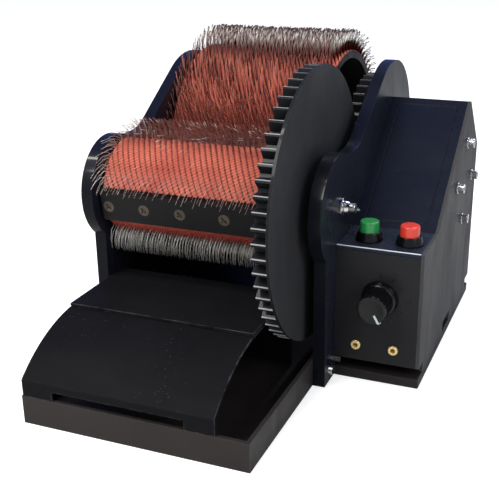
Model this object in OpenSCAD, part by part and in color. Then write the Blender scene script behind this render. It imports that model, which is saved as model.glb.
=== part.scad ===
// Electric drum carder: a small licker drum feeds fibre to a large carding drum,
// both clothed in bent wires, between two side plates on a tray, with a motor box on the right.
// +X is to the right, +Y to the back, +Z up. The origin lies on the tray's underside,
// midway between the side plates and below their front edges.

/* [Base tray] */
// Width of the tray, which is the space between the side plates
tray_w = 200; // [190:1:240]
// Height of the tray's walls
tray_h = 25; // [22:1:30]
// Thickness of the tray's walls
tray_wall = 3.5; // [2.5:0.5:5]
// Thickness of the tray's floor
tray_floor = 4; // [3:0.5:6]
// Reach of the tray ahead of the side plates
front_reach = 143; // [130:1:180]

/* [Feed tray] */
// Thickness of the feed tray's sheet and of the board on it
sheet_t = 2.5; // [2:0.25:3.5]
// Height of the feed tray's flat top
sheet_top = 72.5; // [68:0.5:78]
// Radius of the feed tray's curved front
sheet_r = 134; // [125:1:150]
// Reach of the curve ahead of the flat top
curve_run = 88; // [82:1:94]
// Height of the slot in the feed tray's lip
slot_h = 8; // [6:0.5:9]
// Distance of the feed board's front edge ahead of the side plates
board_reach = 66; // [60:1:72]
// Distance of the feed tray's rear edge behind the side plates' front edges
feed_back = 24; // [18:1:28]
// Space between the feed tray and the licker's gear
feed_side = 3.5; // [2.5:0.5:6]

/* [Side plates] */
// Thickness of each side plate
plate_t = 11; // [9:0.5:14]
// Radius of the front lobe
lobe_r = 48; // [44:0.5:52]
// Distance of the lobe's centre ahead of the licker axis
lobe_lead = 9; // [5:0.5:12]
// Height of the dip between lobe and dome above the licker axis
dip_rise = 41; // [38:0.5:43]
// Radius of the dome over the carding drum's axis
dome_r = 78.5; // [72:0.5:82]
// Distance of the dome's centre ahead of the carding drum's axis
dome_lead = 26.2; // [16:0.1:36]
// Height of the dome's centre above the carding drum's axis
dome_rise = 21.5; // [16:0.5:28]
// Angle of the straight flank between dip and dome
flank_angle = 31; // [29:1:36]
// Radius of the hollow curves at both ends of the dip
dip_curve = 40; // [25:1:50]

/* [Licker drum] */
// Distance of the licker axis behind the plates' front edges
licker_y = 39.5; // [35:0.5:44]
// Height of the licker axis
licker_z = 153.5; // [150:0.5:162]
// Radius of the licker over its card cloth
licker_r = 43; // [40:0.5:46]
// Length of the licker's wires above the cloth
licker_wire = 20; // [16:0.5:22]
// Angle that the licker's wires lean on round the drum
licker_lean = -15; // [-18:1:-8]
// Space between the drums' left ends and the left plate
drum_gap = 3.5; // [3:0.5:8]
// Space between the licker and its gear
licker_side = 5; // [4:0.5:8]
// Radius of the fixed licker axle
axle_r = 4; // [3:0.5:5]

/* [Carding drum] */
// Height of the carding drum's axis
main_z = 151.5; // [148:0.5:155]
// Length of the carding drum's wires above the cloth
main_wire = 24.5; // [18:0.5:26]
// Angle that the carding drum's wires lean on round the drum
main_lean = 4; // [0:0.5:8]
// Least space between the wire tips of the two drums
tip_gap = 1; // [0.8:0.1:3]
// Space between the carding drum and its gear
main_side = 18; // [15:0.5:21]
// Radius of the carding drum's shaft
shaft_r = 7.5; // [6:0.5:9]
// Depth of the open recess at the drum's right end
recess_d = 28; // [15:1:40]

/* [Card cloth and drums] */
// Thickness of the card cloth's backing
cloth_t = 2; // [1.5:0.1:3]
// Wall of the drum pipes
pipe_wall = 6; // [4:0.5:8]
// Thickness of the discs that close the pipes
disc_t = 9; // [6:0.5:12]
// Width of the clamp bars across the cloth's ends
bar_w = 27; // [22:0.5:30]
// Height of a clamp bar's flat face above the pipe
bar_rise = 6.5; // [5:0.5:8]
// Angle of the licker's clamp bar below the front
licker_bar_turn = 9.5; // [0:0.5:20]
// Angle of the carding drum's clamp bar round from the front
main_bar_turn = 180; // [165:1:195]
// Radius of the clamp screws' shanks
clamp_r = 2; // [1.5:0.25:2.5]

/* [Drum gears] */
// Module of the two drum gears
gear_m = 3.8; // [3.7:0.05:4]
// Teeth on the licker's gear
licker_teeth = 60; // [58:1:62]
// Teeth on the carding drum's gear
main_teeth = 41; // [38:1:42]
// Width of the teeth
gear_w = 12.5; // [10:0.5:14]
// Thickness of the disc on the licker gear's outer side
guard_t = 2.5; // [2:0.25:4]
// Space between the guard disc and the right side plate
gear_side = 9.5; // [8:0.5:12]

/* [Motor box] */
// Inside width of the box, between the right plate and its cover
box_w = 73; // [70:1:90]
// Distance of the box's front behind the plates' front edges
box_front = 26; // [23:0.5:30]
// Height of the button shelf
shelf_z = 124.5; // [115:0.5:132]
// Depth of the button shelf
shelf_d = 53; // [48:1:60]
// Distance of the sloped panel's top edge ahead of the carding drum's axis
crest_lead = 24.8; // [18:0.1:30]
// Height of the sloped panel's top edge above the carding drum's axis
crest_rise = 65; // [62:1:74]
// Thickness of the box's panels
panel_t = 4; // [3:0.5:5]
// Thickness of the right cover
cover_t = 3; // [2:0.5:5]
// Thickness of the floor board under the box
plinth_t = 9; // [6:0.5:11]
// Height of the vent gap under the front panel
vent_h = 10; // [9.5:0.5:13]

/* [Controls] */
// Radius of a button cap
cap_r = 8.3; // [7:0.1:9]
// Length that a button cap stands above its bezel
cap_rise = 9; // [7:0.5:12]
// Travel of a button
cap_travel = 3.5; // [2:0.25:4]
// Radius of the knob's grip
knob_r = 11.8; // [9:0.1:13]
// Radius of the knob's skirt
skirt_r = 15.5; // [14:0.1:17]
// Length of the knob
knob_len = 24; // [18:0.5:28]
// Height of the knob's axis
knob_z = 80; // [74:1:86]
// Height of the two power sockets
jack_z = 33.5; // [28:0.5:38]
// Radius of a power socket's hole
jack_r = 2.1; // [2:0.05:2.5]

/* [Drive] */
// Module of the motor's gear pair
drive_m = 1.5; // [1.25:0.05:1.6]
// Teeth on the motor's pinion
pinion_teeth = 25; // [24:1:26]
// Teeth on the driven gear
driven_teeth = 30; // [28:1:32]
// Radius of the motor
motor_r = 24; // [18:0.5:25]
// Diameter of the circle of the motor bracket's screws
bracket_pcd = 74; // [70:1:76]

/* [Hidden] */
$fn = 64;
run_fit = 0.05;
slip_fit = 0.2;
end_play = 0.3;
clear_fit = 0.5;
tooth_share = 0.42;
tooth_flank = tan(20);
tooth_top = 1;
tooth_root = 1.25;
drive_play = 0.12;
box_room = 1.2;

// Places across the width
side_x = tray_w / 2;
right_x = side_x + plate_t;
guard_x1 = side_x - gear_side;
guard_x0 = guard_x1 - guard_t;
gear_x0 = guard_x0 - gear_w;
drum_x0 = -side_x + drum_gap;
licker_x1 = gear_x0 - licker_side;
main_x1 = gear_x0 - main_side;
tray_x1 = gear_x0 - feed_side;
tray_x0 = -side_x + clear_fit * 2;
cover_x0 = right_x + box_w;
cover_x1 = cover_x0 + cover_t;

// Drums and their gears
gear_reach = gear_m * (licker_teeth + main_teeth) / 2;
axis_drop = licker_z - main_z;
main_y = licker_y + sqrt(gear_reach * gear_reach - axis_drop * axis_drop);
mesh_angle = atan2(-axis_drop, main_y - licker_y);
main_r = gear_reach - tip_gap - main_wire - licker_wire - licker_r;
licker_pipe_r = licker_r - cloth_t;
main_pipe_r = main_r - cloth_t;
guard_r = gear_m * (licker_teeth / 2 + tooth_top) + 0.4;
bar_screws = [0.04, 0.25, 0.46, 0.71, 0.94];
screw_head_r = 5.2;
screw_head_t = 3;
hub_rise = 4;
bush_r = axle_r + 4;
axle_end = right_x + 12.5;
washer_t = 2;
nut_x0 = right_x + washer_t + run_fit;
nut_h = 9;

// Side plates
dome_y = main_y - dome_lead;
dome_z = main_z + dome_rise;
plate_back = dome_y + dome_r;
dip_z = licker_z + dip_rise;
bolt_r = 3;
bolt_z = plinth_t + vent_h / 2;
bolt_head_r = 4.6;
bolt_ys = [9, 33, 150, plate_back - 16];
bearing_r = 14;
flange_r = 19;
flange_t = 2.5;

// Feed tray
curve_y = curve_run - front_reach;
curve_z = sheet_top - sheet_r;
lip_top = curve_z + sqrt(sheet_r * sheet_r - curve_run * curve_run);
slot_x0 = tray_x0 + 28;
slot_x1 = tray_x1 - 26;

// Motor box
front_z = plinth_t + vent_h;
crest_y = main_y - crest_lead;
crest_z = main_z + crest_rise;
shelf_y1 = box_front + shelf_d;
slope_angle = atan2(crest_z - shelf_z, crest_y - shelf_y1);
driven_r = drive_m * (driven_teeth / 2 + tooth_top);
box_back = main_y + driven_r + panel_t + box_room;
back_z = main_z + crest_rise * 0.19;
motor_angle = 193;
motor_reach = drive_m * (pinion_teeth + driven_teeth) / 2 + drive_play;
motor_y = main_y + motor_reach * cos(motor_angle);
motor_z = main_z + motor_reach * sin(motor_angle);
drive_x0 = right_x + flange_t + 1.5;
drive_w = 10;
motor_x0 = drive_x0 + drive_w + 6;
bracket_t = 4;
motor_x1 = cover_x0 - bracket_t;
motor_shaft_r = 4;
gearbox_len = 18;
seat_d = 12;
bracket_turn = -5;
cover_bolt_r = 2.5;

// Controls
button_y = box_front + 0.4 * shelf_d;
button_xs = [right_x + 0.315 * box_w, right_x + 0.795 * box_w];
bezel_h = 8;
bezel_r0 = cap_r + 3.5;
bezel_r1 = cap_r + 1.5;
barrel_r = cap_r - 0.5;
barrel_len = 26;
stem_r = 2.5;
stem_len = 17;
well_z = 0.8;
knob_x = right_x + 0.541 * box_w;
knob_gap = 1;
pot_r = 8.5;
pot_len = 11;
pot_shaft_r = 3;
bushing_r = 3.6;
jack_xs = [right_x + 0.2685 * box_w, right_x + 0.7247 * box_w];
jack_ring_r = 4.4;
jack_barrel_r = 3.4;
jack_len = 14;
board_size = [48, 70];
board_x0 = right_x + (box_w - board_size[0]) / 2;
board_y = box_front + 34;
board_rise = 6;
board_t = 1.6;
sink_size = [32, 14, 22];
store_r = 6;
store_h = 18;
relay_size = [12, 26, 9];
post_r = 3;
tick_r = 20;
tick_count = 11;
dial_sweep = 300;

// Extrudes an outline drawn in Y and Z from one place across the width to another
module across(x0, x1) {
  translate([x0, 0, 0]) rotate([90, 0, 90]) linear_extrude(x1 - x0) children();
}

// Round bar across the width
module rod(x0, x1, r, y, z) {
  translate([x0, y, z]) rotate([0, 90, 0]) cylinder(h = x1 - x0, r = r);
}

// Round tube across the width
module tube(x0, x1, r, hole_r, y, z) {
  across(x0, x1) translate([y, z]) difference() {
    circle(r);
    circle(hole_r);
  }
}

// Six-sided nut with its axis along +Z
module hex_nut(r, hole_r, h) {
  linear_extrude(h) difference() {
    circle(r, $fn = 6);
    circle(hole_r);
  }
}

// Cap screw with its head above the origin and its shank below
module cap_screw(r, head_r, head_h, len) {
  difference() {
    union() {
      cylinder(h = head_h, r = head_r);
      translate([0, 0, -len]) cylinder(h = len, r = r);
    }
    translate([0, 0, head_h * 0.4]) cylinder(h = head_h, r = r, $fn = 6);
  }
}

// Straight-sided gear teeth on a root circle, with one tooth at the given angle
function gear_outline(teeth, m, phase) = let (
  root_r = m * (teeth / 2 - tooth_root),
  top_r = m * (teeth / 2 + tooth_top),
  thick = tooth_share * PI * m,
  root_a = (thick / 2 + tooth_root * m * tooth_flank) / root_r * 180 / PI,
  top_a = (thick / 2 - tooth_top * m * tooth_flank) / top_r * 180 / PI
) [
  for (i = [0 : teeth - 1], s = [[root_r, -root_a], [top_r, -top_a], [top_r, top_a], [root_r, root_a]])
    let (a = phase + 360 * i / teeth + s[1]) [s[0] * cos(a), s[0] * sin(a)]
];

// Place on a drum: angle from the front over the top, radius and place across the width
function on_drum(y, z, a, r, x) = [x, y - r * cos(a), z + r * sin(a)];

// Card cloth: flat facets of backing round a pipe, each with rows of bent wires that end in points
module card_cloth(y, z, x0, x1, pipe_r, wire, start, turn, rows, cols, lean) {
  step = turn / rows;
  half = step / 2;
  in_r = (pipe_r + run_fit) / cos(half);
  out_r = pipe_r + cloth_t;
  face_r = out_r * cos(half);
  pitch = (x1 - x0) / cols;
  wire_w = 0.9;
  spread = wire_w / face_r * 180 / PI;
  knee_h = 0.45 * wire;
  knee_a = lean * 0.15;
  corner = [[0, 1], [-0.87, -0.5], [0.87, -0.5]];
  grid = [for (i = [0 : rows], j = [0 : cols]) on_drum(y, z, start + i * step, out_r, x0 + j * pitch)];
  inner = [for (i = [0 : rows], x = [x0, x1]) on_drum(y, z, start + i * step, in_r, x)];
  wires = [
    for (i = [0 : rows - 1], j = [0 : cols - 1])
      let (a = start + (i + 0.5) * step, x = x0 + (j + 0.5 + 0.25 * pow(-1, i)) * pitch)
        each [
          for (c = corner)
            on_drum(y, z, a + c[0] * spread, face_r / cos(c[0] * spread), x + c[1] * wire_w),
          for (c = corner)
            on_drum(y, z, a + knee_a + 0.7 * c[0] * spread, out_r + knee_h, x + 0.7 * c[1] * wire_w),
          on_drum(y, z, a + lean, out_r + wire, x)
        ]
  ];
  at_inner = len(grid);
  at_wire = at_inner + len(inner);
  function g(i, j) = i * (cols + 1) + j;
  function n(i, j) = at_inner + i * 2 + j;
  function w(i, j, k) = at_wire + (i * cols + j) * 7 + k;
  cells = [
    for (i = [0 : rows - 1], j = [0 : cols - 1])
      let (
        a = g(i, j), b = g(i + 1, j), c = g(i + 1, j + 1), d = g(i, j + 1),
        r0 = w(i, j, 0), r1 = w(i, j, 1), r2 = w(i, j, 2), tip = w(i, j, 6)
      )
        each [
          [a, b, r2], [a, r2, r1], [b, c, r2], [c, r0, r2], [c, d, r0], [d, a, r1], [d, r1, r0],
          for (k = [0 : 2])
            let (u = w(i, j, k), v = w(i, j, (k + 1) % 3))
              each [[u, v, v + 3], [u, v + 3, u + 3], [u + 3, v + 3, tip]]
        ]
  ];
  inside = [
    for (i = [0 : rows - 1])
      each [[n(i, 0), n(i, 1), n(i + 1, 1)], [n(i, 0), n(i + 1, 1), n(i + 1, 0)]]
  ];
  sides = [
    for (i = [0 : rows - 1])
      each [
        [g(i, 0), n(i, 0), n(i + 1, 0)], [g(i, 0), n(i + 1, 0), g(i + 1, 0)],
        [g(i, cols), n(i + 1, 1), n(i, 1)], [g(i, cols), g(i + 1, cols), n(i + 1, 1)]
      ]
  ];
  ends = [
    for (j = [0 : cols - 1])
      each [[n(0, 0), g(0, j), g(0, j + 1)], [n(rows, 0), g(rows, j + 1), g(rows, j)]],
    [n(0, 0), g(0, cols), n(0, 1)],
    [n(rows, 0), n(rows, 1), g(rows, cols)]
  ];
  faces = concat(cells, inside, sides, ends);
  polyhedron(points = concat(grid, inner, wires), faces = [for (f = faces) [f[2], f[1], f[0]]]);
}

// Angle that a clamp bar takes up on its pipe, with a little room at both edges
function bar_angle(pipe_r) = 2 * asin(bar_w / 2 / pipe_r) + 2;

// Clamp bar along a pipe, pointing to -Y and turned about the drum's axis
module clamp_bar(y, z, x0, x1, pipe_r, turn) {
  flat_y = pipe_r + bar_rise;
  translate([0, y, z]) rotate([turn, 0, 0]) difference() {
    translate([x0, -flat_y, -bar_w / 2]) cube([x1 - x0, bar_rise + pipe_r * 0.1, bar_w]);
    rod(x0 - 1, x1 + 1, pipe_r + run_fit, 0, 0);
    bar_screw_places(x0, x1, flat_y) clamp_screw_hole();
  }
}

// Places of the clamp screws on a bar's flat face, with +Z pointing out of the bar
module bar_screw_places(x0, x1, flat_y) {
  for (s = bar_screws) translate([x0 + s * (x1 - x0), -flat_y, 0]) rotate([90, 0, 0]) children();
}

// Room for a clamp screw: its sunk head and its shank through the pipe's wall
module clamp_screw_hole() {
  through = bar_rise + pipe_wall + 6;
  head_r = screw_head_r + run_fit;
  translate([0, 0, -screw_head_t]) cylinder(h = screw_head_t, r1 = clamp_r + run_fit, r2 = head_r);
  translate([0, 0, -0.01]) cylinder(h = 1, r = head_r);
  translate([0, 0, -through]) cylinder(h = through, r = clamp_r + run_fit);
}

// Sunk screws with a cross recess
module clamp_screws(y, z, x0, x1, pipe_r, turn) {
  shank = bar_rise + pipe_wall - 0.5;
  translate([0, y, z]) rotate([turn, 0, 0]) bar_screw_places(x0, x1, pipe_r + bar_rise) difference() {
    union() {
      translate([0, 0, -screw_head_t]) cylinder(h = screw_head_t, r1 = clamp_r, r2 = screw_head_r);
      translate([0, 0, -shank]) cylinder(h = shank - screw_head_t + 0.1, r = clamp_r);
    }
    for (a = [45, 135]) rotate(a) translate([-3, -0.6, -1.6]) cube([6, 1.2, 2]);
  }
}

// Drum pipe with holes for its clamp screws
module drum_pipe(y, z, x0, x1, r, turn) {
  difference() {
    tube(x0, x1, r, r - pipe_wall, y, z);
    translate([0, y, z]) rotate([turn, 0, 0]) bar_screw_places(x0, x1, r + bar_rise) clamp_screw_hole();
  }
}

module base_tray() {
  depth = front_reach + plate_back;
  color("#1b1b1d") difference() {
    translate([-side_x, -front_reach, 0]) cube([tray_w, depth, tray_h]);
    translate([-side_x + tray_wall, -front_reach + tray_wall, tray_floor])
      cube([tray_w - 2 * tray_wall, depth - 2 * tray_wall, tray_h]);
    for (y = bolt_ys) rod(-side_x - 1, side_x + 1, bolt_r + slip_fit, y, bolt_z);
  }
}

// Points along an arc from one angle to another
function arc(centre, r, a0, a1, count) = [
  for (i = [0 : count]) let (a = a0 + (a1 - a0) * i / count) centre + r * [cos(a), sin(a)]
];

// Outline of a side plate: front lobe, dip, straight flank and rear dome
module plate_outline() {
  flank_top = [dome_y - dome_r * sin(flank_angle), dome_z + dome_r * cos(flank_angle)];
  dip_end = flank_top[0] - (flank_top[1] - dip_z) / tan(flank_angle);
  back_run = dip_curve * tan(flank_angle / 2);
  front_run = sqrt(pow(lobe_r + dip_curve, 2) - pow(dip_rise + dip_curve, 2));
  lobe_y = licker_y - lobe_lead;
  lobe_start = 180 + acos(lobe_y / lobe_r);
  lobe_end = atan2(dip_rise + dip_curve, front_run);
  hollow_z = dip_z + dip_curve;
  polygon([
    [0, 0],
    each arc([lobe_y, licker_z], lobe_r, lobe_start, lobe_end, 50),
    each arc([lobe_y + front_run, hollow_z], dip_curve, 180 + lobe_end, 270, 10),
    each arc([dip_end - back_run, hollow_z], dip_curve, 270, 270 + flank_angle, 12),
    each arc([dome_y, dome_z], dome_r, 90 + flank_angle, 0, 40),
    [plate_back, 0]
  ]);
}

module side_plate(x0) {
  difference() {
    across(x0, x0 + plate_t) plate_outline();
    rod(x0 - 1, x0 + plate_t + 1, axle_r + slip_fit, licker_y, licker_z);
    rod(x0 - 1, x0 + plate_t + 1, bearing_r + run_fit, main_y, main_z);
    for (y = bolt_ys) rod(x0 - 1, x0 + plate_t + 1, bolt_r + slip_fit, y, bolt_z);
  }
}

module left_plate() {
  color("#18181b") side_plate(-right_x);
}

module right_plate() {
  color("#18181b") side_plate(side_x);
}

// Bolts that hold the side plates to the tray
module plate_bolts() {
  shank = plate_t + tray_wall + 6;
  color("silver") for (s = [-1, 1], y = bolt_ys)
    translate([s * right_x, y, bolt_z]) rotate([0, s * 90, 0]) cap_screw(bolt_r, bolt_head_r, 5, shank);
}

module plate_nuts() {
  inside = side_x - tray_wall;
  color("silver") for (s = [-1, 1], y = bolt_ys)
    translate([s * inside, y, bolt_z]) rotate([0, -s * 90, 0]) hex_nut(5.5, bolt_r + run_fit, 5);
}

// Curved feed sheet that stands on the tray's rim and floor
module feed_tray() {
  lip_y = -front_reach;
  color("#202022") difference() {
    union() {
      across(tray_x0, tray_x1) {
        translate([lip_y, tray_h]) square([sheet_t, lip_top - tray_h]);
        intersection() {
          translate([curve_y, curve_z]) difference() {
            circle(sheet_r, $fn = 180);
            circle(sheet_r - sheet_t, $fn = 180);
          }
          translate([lip_y, lip_top - 1.5 * sheet_t]) square([curve_run, sheet_top]);
        }
        translate([curve_y, sheet_top - sheet_t]) square([feed_back - curve_y, sheet_t]);
      }
      across(tray_x0 + tray_wall, tray_x1)
        translate([feed_back - sheet_t, tray_floor]) square([sheet_t, sheet_top - tray_floor - sheet_t]);
    }
    translate([slot_x0, lip_y - 1, tray_h - 1]) cube([slot_x1 - slot_x0, sheet_t + 2, slot_h + 1]);
  }
}

module feed_board() {
  color("#1d1d20") translate([tray_x0, -board_reach, sheet_top])
    cube([tray_x1 - tray_x0, feed_back + board_reach, sheet_t]);
}

// Flanged bearings for the carding drum's shaft, one in each side plate
module main_bearings() {
  color("#8c8c90") for (s = [0, 1]) mirror([s, 0, 0]) {
    tube(side_x, right_x, bearing_r, shaft_r + run_fit, main_y, main_z);
    tube(right_x, right_x + flange_t, flange_r, shaft_r + run_fit, main_y, main_z);
  }
}

// Fixed axle that the licker turns on
module licker_axle() {
  color("silver") rod(-axle_end, axle_end, axle_r, licker_y, licker_z);
}

// Sleeves that keep the licker off the side plates
module axle_spacers() {
  color("#9a9a9e") {
    tube(-side_x, drum_x0 - end_play, axle_r + 3, axle_r + run_fit, licker_y, licker_z);
    tube(guard_x1 + hub_rise + end_play, side_x, axle_r + 3, axle_r + run_fit, licker_y, licker_z);
  }
}

module axle_washers() {
  color("silver") for (s = [0, 1]) mirror([s, 0, 0])
    tube(right_x, right_x + washer_t, axle_r + 4, axle_r + run_fit, licker_y, licker_z);
}

// Butterfly nut whose two ears flare away from the plate
module wing_nut() {
  ear_r = 3.2;
  ear_t = 3;
  root = [axle_r + 1.5, 3.4];
  tip = [axle_r + 8, 8.6];
  ear_len = norm(tip - root);
  ear_a = atan2(tip[1] - root[1], tip[0] - root[0]);
  translate([nut_x0, licker_y, licker_z]) rotate([0, 90, 0]) rotate(65) difference() {
    union() {
      cylinder(h = nut_h, r1 = axle_r + 3, r2 = axle_r + 2.2);
      for (s = [0, 180]) rotate(s) rotate([90, 0, 0]) translate([0, 0, -ear_t / 2]) linear_extrude(ear_t) {
        translate(root) circle(ear_r);
        translate(tip) circle(ear_r);
        translate(root) rotate(ear_a) translate([0, -ear_r]) square([ear_len, 2 * ear_r]);
      }
    }
    translate([0, 0, -1]) cylinder(h = nut_h + 20, r = axle_r + run_fit);
  }
}

module wing_nut_left() {
  color("silver") mirror([1, 0, 0]) wing_nut();
}

module wing_nut_right() {
  color("silver") wing_nut();
}

module licker_pipe() {
  color("#161618") drum_pipe(licker_y, licker_z, drum_x0, licker_x1, licker_pipe_r, licker_bar_turn);
}

module licker_discs() {
  r = licker_pipe_r - pipe_wall - run_fit;
  color("#222224") for (x = [drum_x0, licker_x1 - disc_t])
    tube(x, x + disc_t, r, bush_r + run_fit, licker_y, licker_z);
}

// Plain bearings in the licker's end discs
module licker_bushes() {
  color("#b08d57") for (x = [drum_x0, licker_x1 - disc_t])
    tube(x, x + disc_t, bush_r, axle_r + run_fit, licker_y, licker_z);
}

module licker_cloth() {
  gap = bar_angle(licker_pipe_r);
  color("#c85a4b") card_cloth(licker_y, licker_z, drum_x0, licker_x1, licker_pipe_r, licker_wire,
    gap / 2 - licker_bar_turn, 360 - gap, 20, 10, licker_lean);
}

module licker_bar() {
  color("#1c1c1e") clamp_bar(licker_y, licker_z, drum_x0, licker_x1, licker_pipe_r, licker_bar_turn);
}

module licker_bar_screws() {
  color("#6b6257") clamp_screws(licker_y, licker_z, drum_x0, licker_x1, licker_pipe_r, licker_bar_turn);
}

// Large gear beside the licker, with a plain disc over the teeth's outer ends
module licker_gear() {
  hub_r = 17;
  color("#1a1a1c") difference() {
    union() {
      across(gear_x0, guard_x0) translate([licker_y, licker_z])
        polygon(gear_outline(licker_teeth, gear_m, mesh_angle));
      rod(guard_x0, guard_x1, guard_r, licker_y, licker_z);
      rod(licker_x1, guard_x1 + hub_rise, hub_r, licker_y, licker_z);
    }
    rod(licker_x1 - 1, guard_x1 + hub_rise + 1, axle_r + clear_fit, licker_y, licker_z);
  }
}

module main_pipe() {
  color("#161618") drum_pipe(main_y, main_z, drum_x0, main_x1, main_pipe_r, main_bar_turn);
}

module main_discs() {
  r = main_pipe_r - pipe_wall - run_fit;
  color("#131315") for (x = [drum_x0, main_x1 - recess_d - disc_t])
    tube(x, x + disc_t, r, shaft_r + run_fit, main_y, main_z);
}

module main_shaft() {
  color("silver") rod(-right_x - flange_t - 10, drive_x0 + drive_w + 2, shaft_r, main_y, main_z);
}

module main_cloth() {
  gap = bar_angle(main_pipe_r);
  color("#c85a4b") card_cloth(main_y, main_z, drum_x0, main_x1, main_pipe_r, main_wire,
    gap / 2 - main_bar_turn, 360 - gap, 28, 10, main_lean);
}

module main_bar() {
  color("#1c1c1e") clamp_bar(main_y, main_z, drum_x0, main_x1, main_pipe_r, main_bar_turn);
}

module main_bar_screws() {
  color("#6b6257") clamp_screws(main_y, main_z, drum_x0, main_x1, main_pipe_r, main_bar_turn);
}

// Gear on the carding drum's shaft, in mesh with the licker's gear
module main_gear() {
  hub_r = shaft_r + 10;
  hub_x0 = gear_x0 - 6;
  color("#1a1a1c") difference() {
    union() {
      across(gear_x0, guard_x0 - 1) translate([main_y, main_z])
        polygon(gear_outline(main_teeth, gear_m, mesh_angle + 180 + 180 / main_teeth));
      rod(hub_x0, guard_x1 + hub_rise, hub_r, main_y, main_z);
    }
    rod(hub_x0 - 1, guard_x1 + hub_rise + 1, shaft_r + run_fit, main_y, main_z);
  }
}

// Collar that keeps the shaft in its left bearing
module shaft_collar() {
  x1 = -right_x - flange_t - end_play;
  color("#77777b") tube(x1 - 8, x1, shaft_r + 6, shaft_r + run_fit, main_y, main_z);
}

module driven_gear() {
  phase = motor_angle + 180 / driven_teeth;
  color("#d8d4c8") difference() {
    across(drive_x0, drive_x0 + drive_w) translate([main_y, main_z])
      polygon(gear_outline(driven_teeth, drive_m, phase));
    rod(drive_x0 - 1, drive_x0 + drive_w + 1, shaft_r + run_fit, main_y, main_z);
  }
}

// Motor shaft with the pinion that drives the carding drum's shaft
module motor_pinion() {
  color("#8f8f94") {
    across(drive_x0, drive_x0 + drive_w) translate([motor_y, motor_z])
      polygon(gear_outline(pinion_teeth, drive_m, motor_angle + 180));
    rod(drive_x0 + drive_w, motor_x0 + seat_d, motor_shaft_r, motor_y, motor_z);
  }
}

module motor_gearbox() {
  color("#5c5c60") difference() {
    rod(motor_x0, motor_x0 + gearbox_len, motor_r, motor_y, motor_z);
    rod(motor_x0 - 1, motor_x0 + seat_d + end_play, motor_shaft_r + run_fit, motor_y, motor_z);
  }
}

module motor_can() {
  color("#3d3d40") rod(motor_x0 + gearbox_len, motor_x1, motor_r - 1.5, motor_y, motor_z);
}

// Places of the motor bracket's screws, with the cover's outside along +Z
module bracket_places(x) {
  for (a = [0, 90, 180, 270]) let (t = a + bracket_turn)
    translate([x, motor_y + bracket_pcd / 2 * cos(t), motor_z + bracket_pcd / 2 * sin(t)])
      rotate([0, 90, 0]) children();
}

// Cross-shaped bracket that holds the motor's rear end to the cover
module motor_bracket() {
  arm_w = 8;
  arm_len = bracket_pcd + 6.4;
  color("#6e6e72") difference() {
    union() {
      rod(motor_x1, cover_x0, motor_r + 3, motor_y, motor_z);
      for (a = [0, 90]) translate([motor_x1, motor_y, motor_z]) rotate([a + bracket_turn, 0, 0])
        translate([0, -arm_len / 2, -arm_w / 2]) cube([bracket_t, arm_len, arm_w]);
    }
    bracket_places(motor_x1 - 1) cylinder(h = bracket_t + 2, r = cover_bolt_r + run_fit);
  }
}

module box_floor() {
  color("#2b2726") translate([right_x, box_front, 0])
    cube([cover_x1 - right_x, box_back - box_front, plinth_t]);
}

module front_panel() {
  color("#1a1a1c") difference() {
    translate([right_x, box_front, front_z]) cube([box_w, panel_t, shelf_z - panel_t - front_z]);
    translate([knob_x, box_front - 1, knob_z]) rotate([-90, 0, 0])
      cylinder(h = panel_t + 2, r = bushing_r + run_fit);
    for (x = jack_xs) translate([x, box_front - 1, jack_z]) rotate([-90, 0, 0])
      cylinder(h = panel_t + 2, r = jack_barrel_r + run_fit);
  }
}

module button_shelf() {
  color("#191a1e") difference() {
    translate([right_x, box_front, shelf_z - panel_t]) cube([box_w, shelf_d, panel_t]);
    for (x = button_xs) translate([x, button_y, shelf_z - panel_t - 1])
      cylinder(h = panel_t + 2, r = barrel_r + run_fit);
  }
}

// Rectangle with round corners, centred
module soft_rect(w, h, r) {
  square([w - 2 * r, h], center = true);
  square([w, h - 2 * r], center = true);
  for (x = [-1, 1], y = [-1, 1]) translate([x * (w / 2 - r), y * (h / 2 - r)]) circle(r);
}

// Sloped panel with a shallow framing groove
module sloped_panel() {
  run = norm([crest_y - shelf_y1, crest_z - shelf_z]);
  edge = 8;
  groove_w = 1.4;
  groove_d = 0.8;
  color("#191a1e") translate([right_x, shelf_y1, shelf_z]) rotate([slope_angle, 0, 0]) difference() {
    translate([0, 0, -panel_t]) cube([box_w, run, panel_t]);
    translate([box_w / 2, run / 2, -groove_d]) linear_extrude(groove_d + 1) difference() {
      soft_rect(box_w - 2 * edge, run - 2 * edge, 5);
      soft_rect(box_w - 2 * edge - 2 * groove_w, run - 2 * edge - 2 * groove_w, 4);
    }
  }
}

// Short panel that slants down behind the sloped panel's top edge
module crest_panel() {
  under = [crest_y + panel_t * sin(slope_angle), crest_z - panel_t * cos(slope_angle)];
  inner = under - panel_t * [cos(slope_angle), sin(slope_angle)];
  color("#18181b") across(right_x, cover_x0)
    polygon([under, [box_back, back_z], [box_back - panel_t, back_z], inner]);
}

module rear_panel() {
  color("#18181b") translate([right_x, box_back - panel_t, plinth_t])
    cube([box_w, panel_t, back_z - plinth_t]);
}

module right_cover() {
  notch_h = 10;
  notch_w = 32;
  middle = (box_front + box_back) / 2;
  color("#2a2a2d") difference() {
    across(cover_x0, cover_x1) polygon([
      [box_front, plinth_t], [box_front, shelf_z], [shelf_y1, shelf_z], [crest_y, crest_z],
      [box_back, back_z], [box_back, plinth_t]
    ]);
    for (y = [box_front - notch_w / 2, middle - notch_w / 2, box_back - notch_w / 2])
      translate([cover_x0 - 1, y, plinth_t - 1]) cube([cover_t + 2, notch_w, notch_h + 1]);
    bracket_places(cover_x0 - 1) cylinder(h = cover_t + 2, r = cover_bolt_r + run_fit);
  }
}

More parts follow.
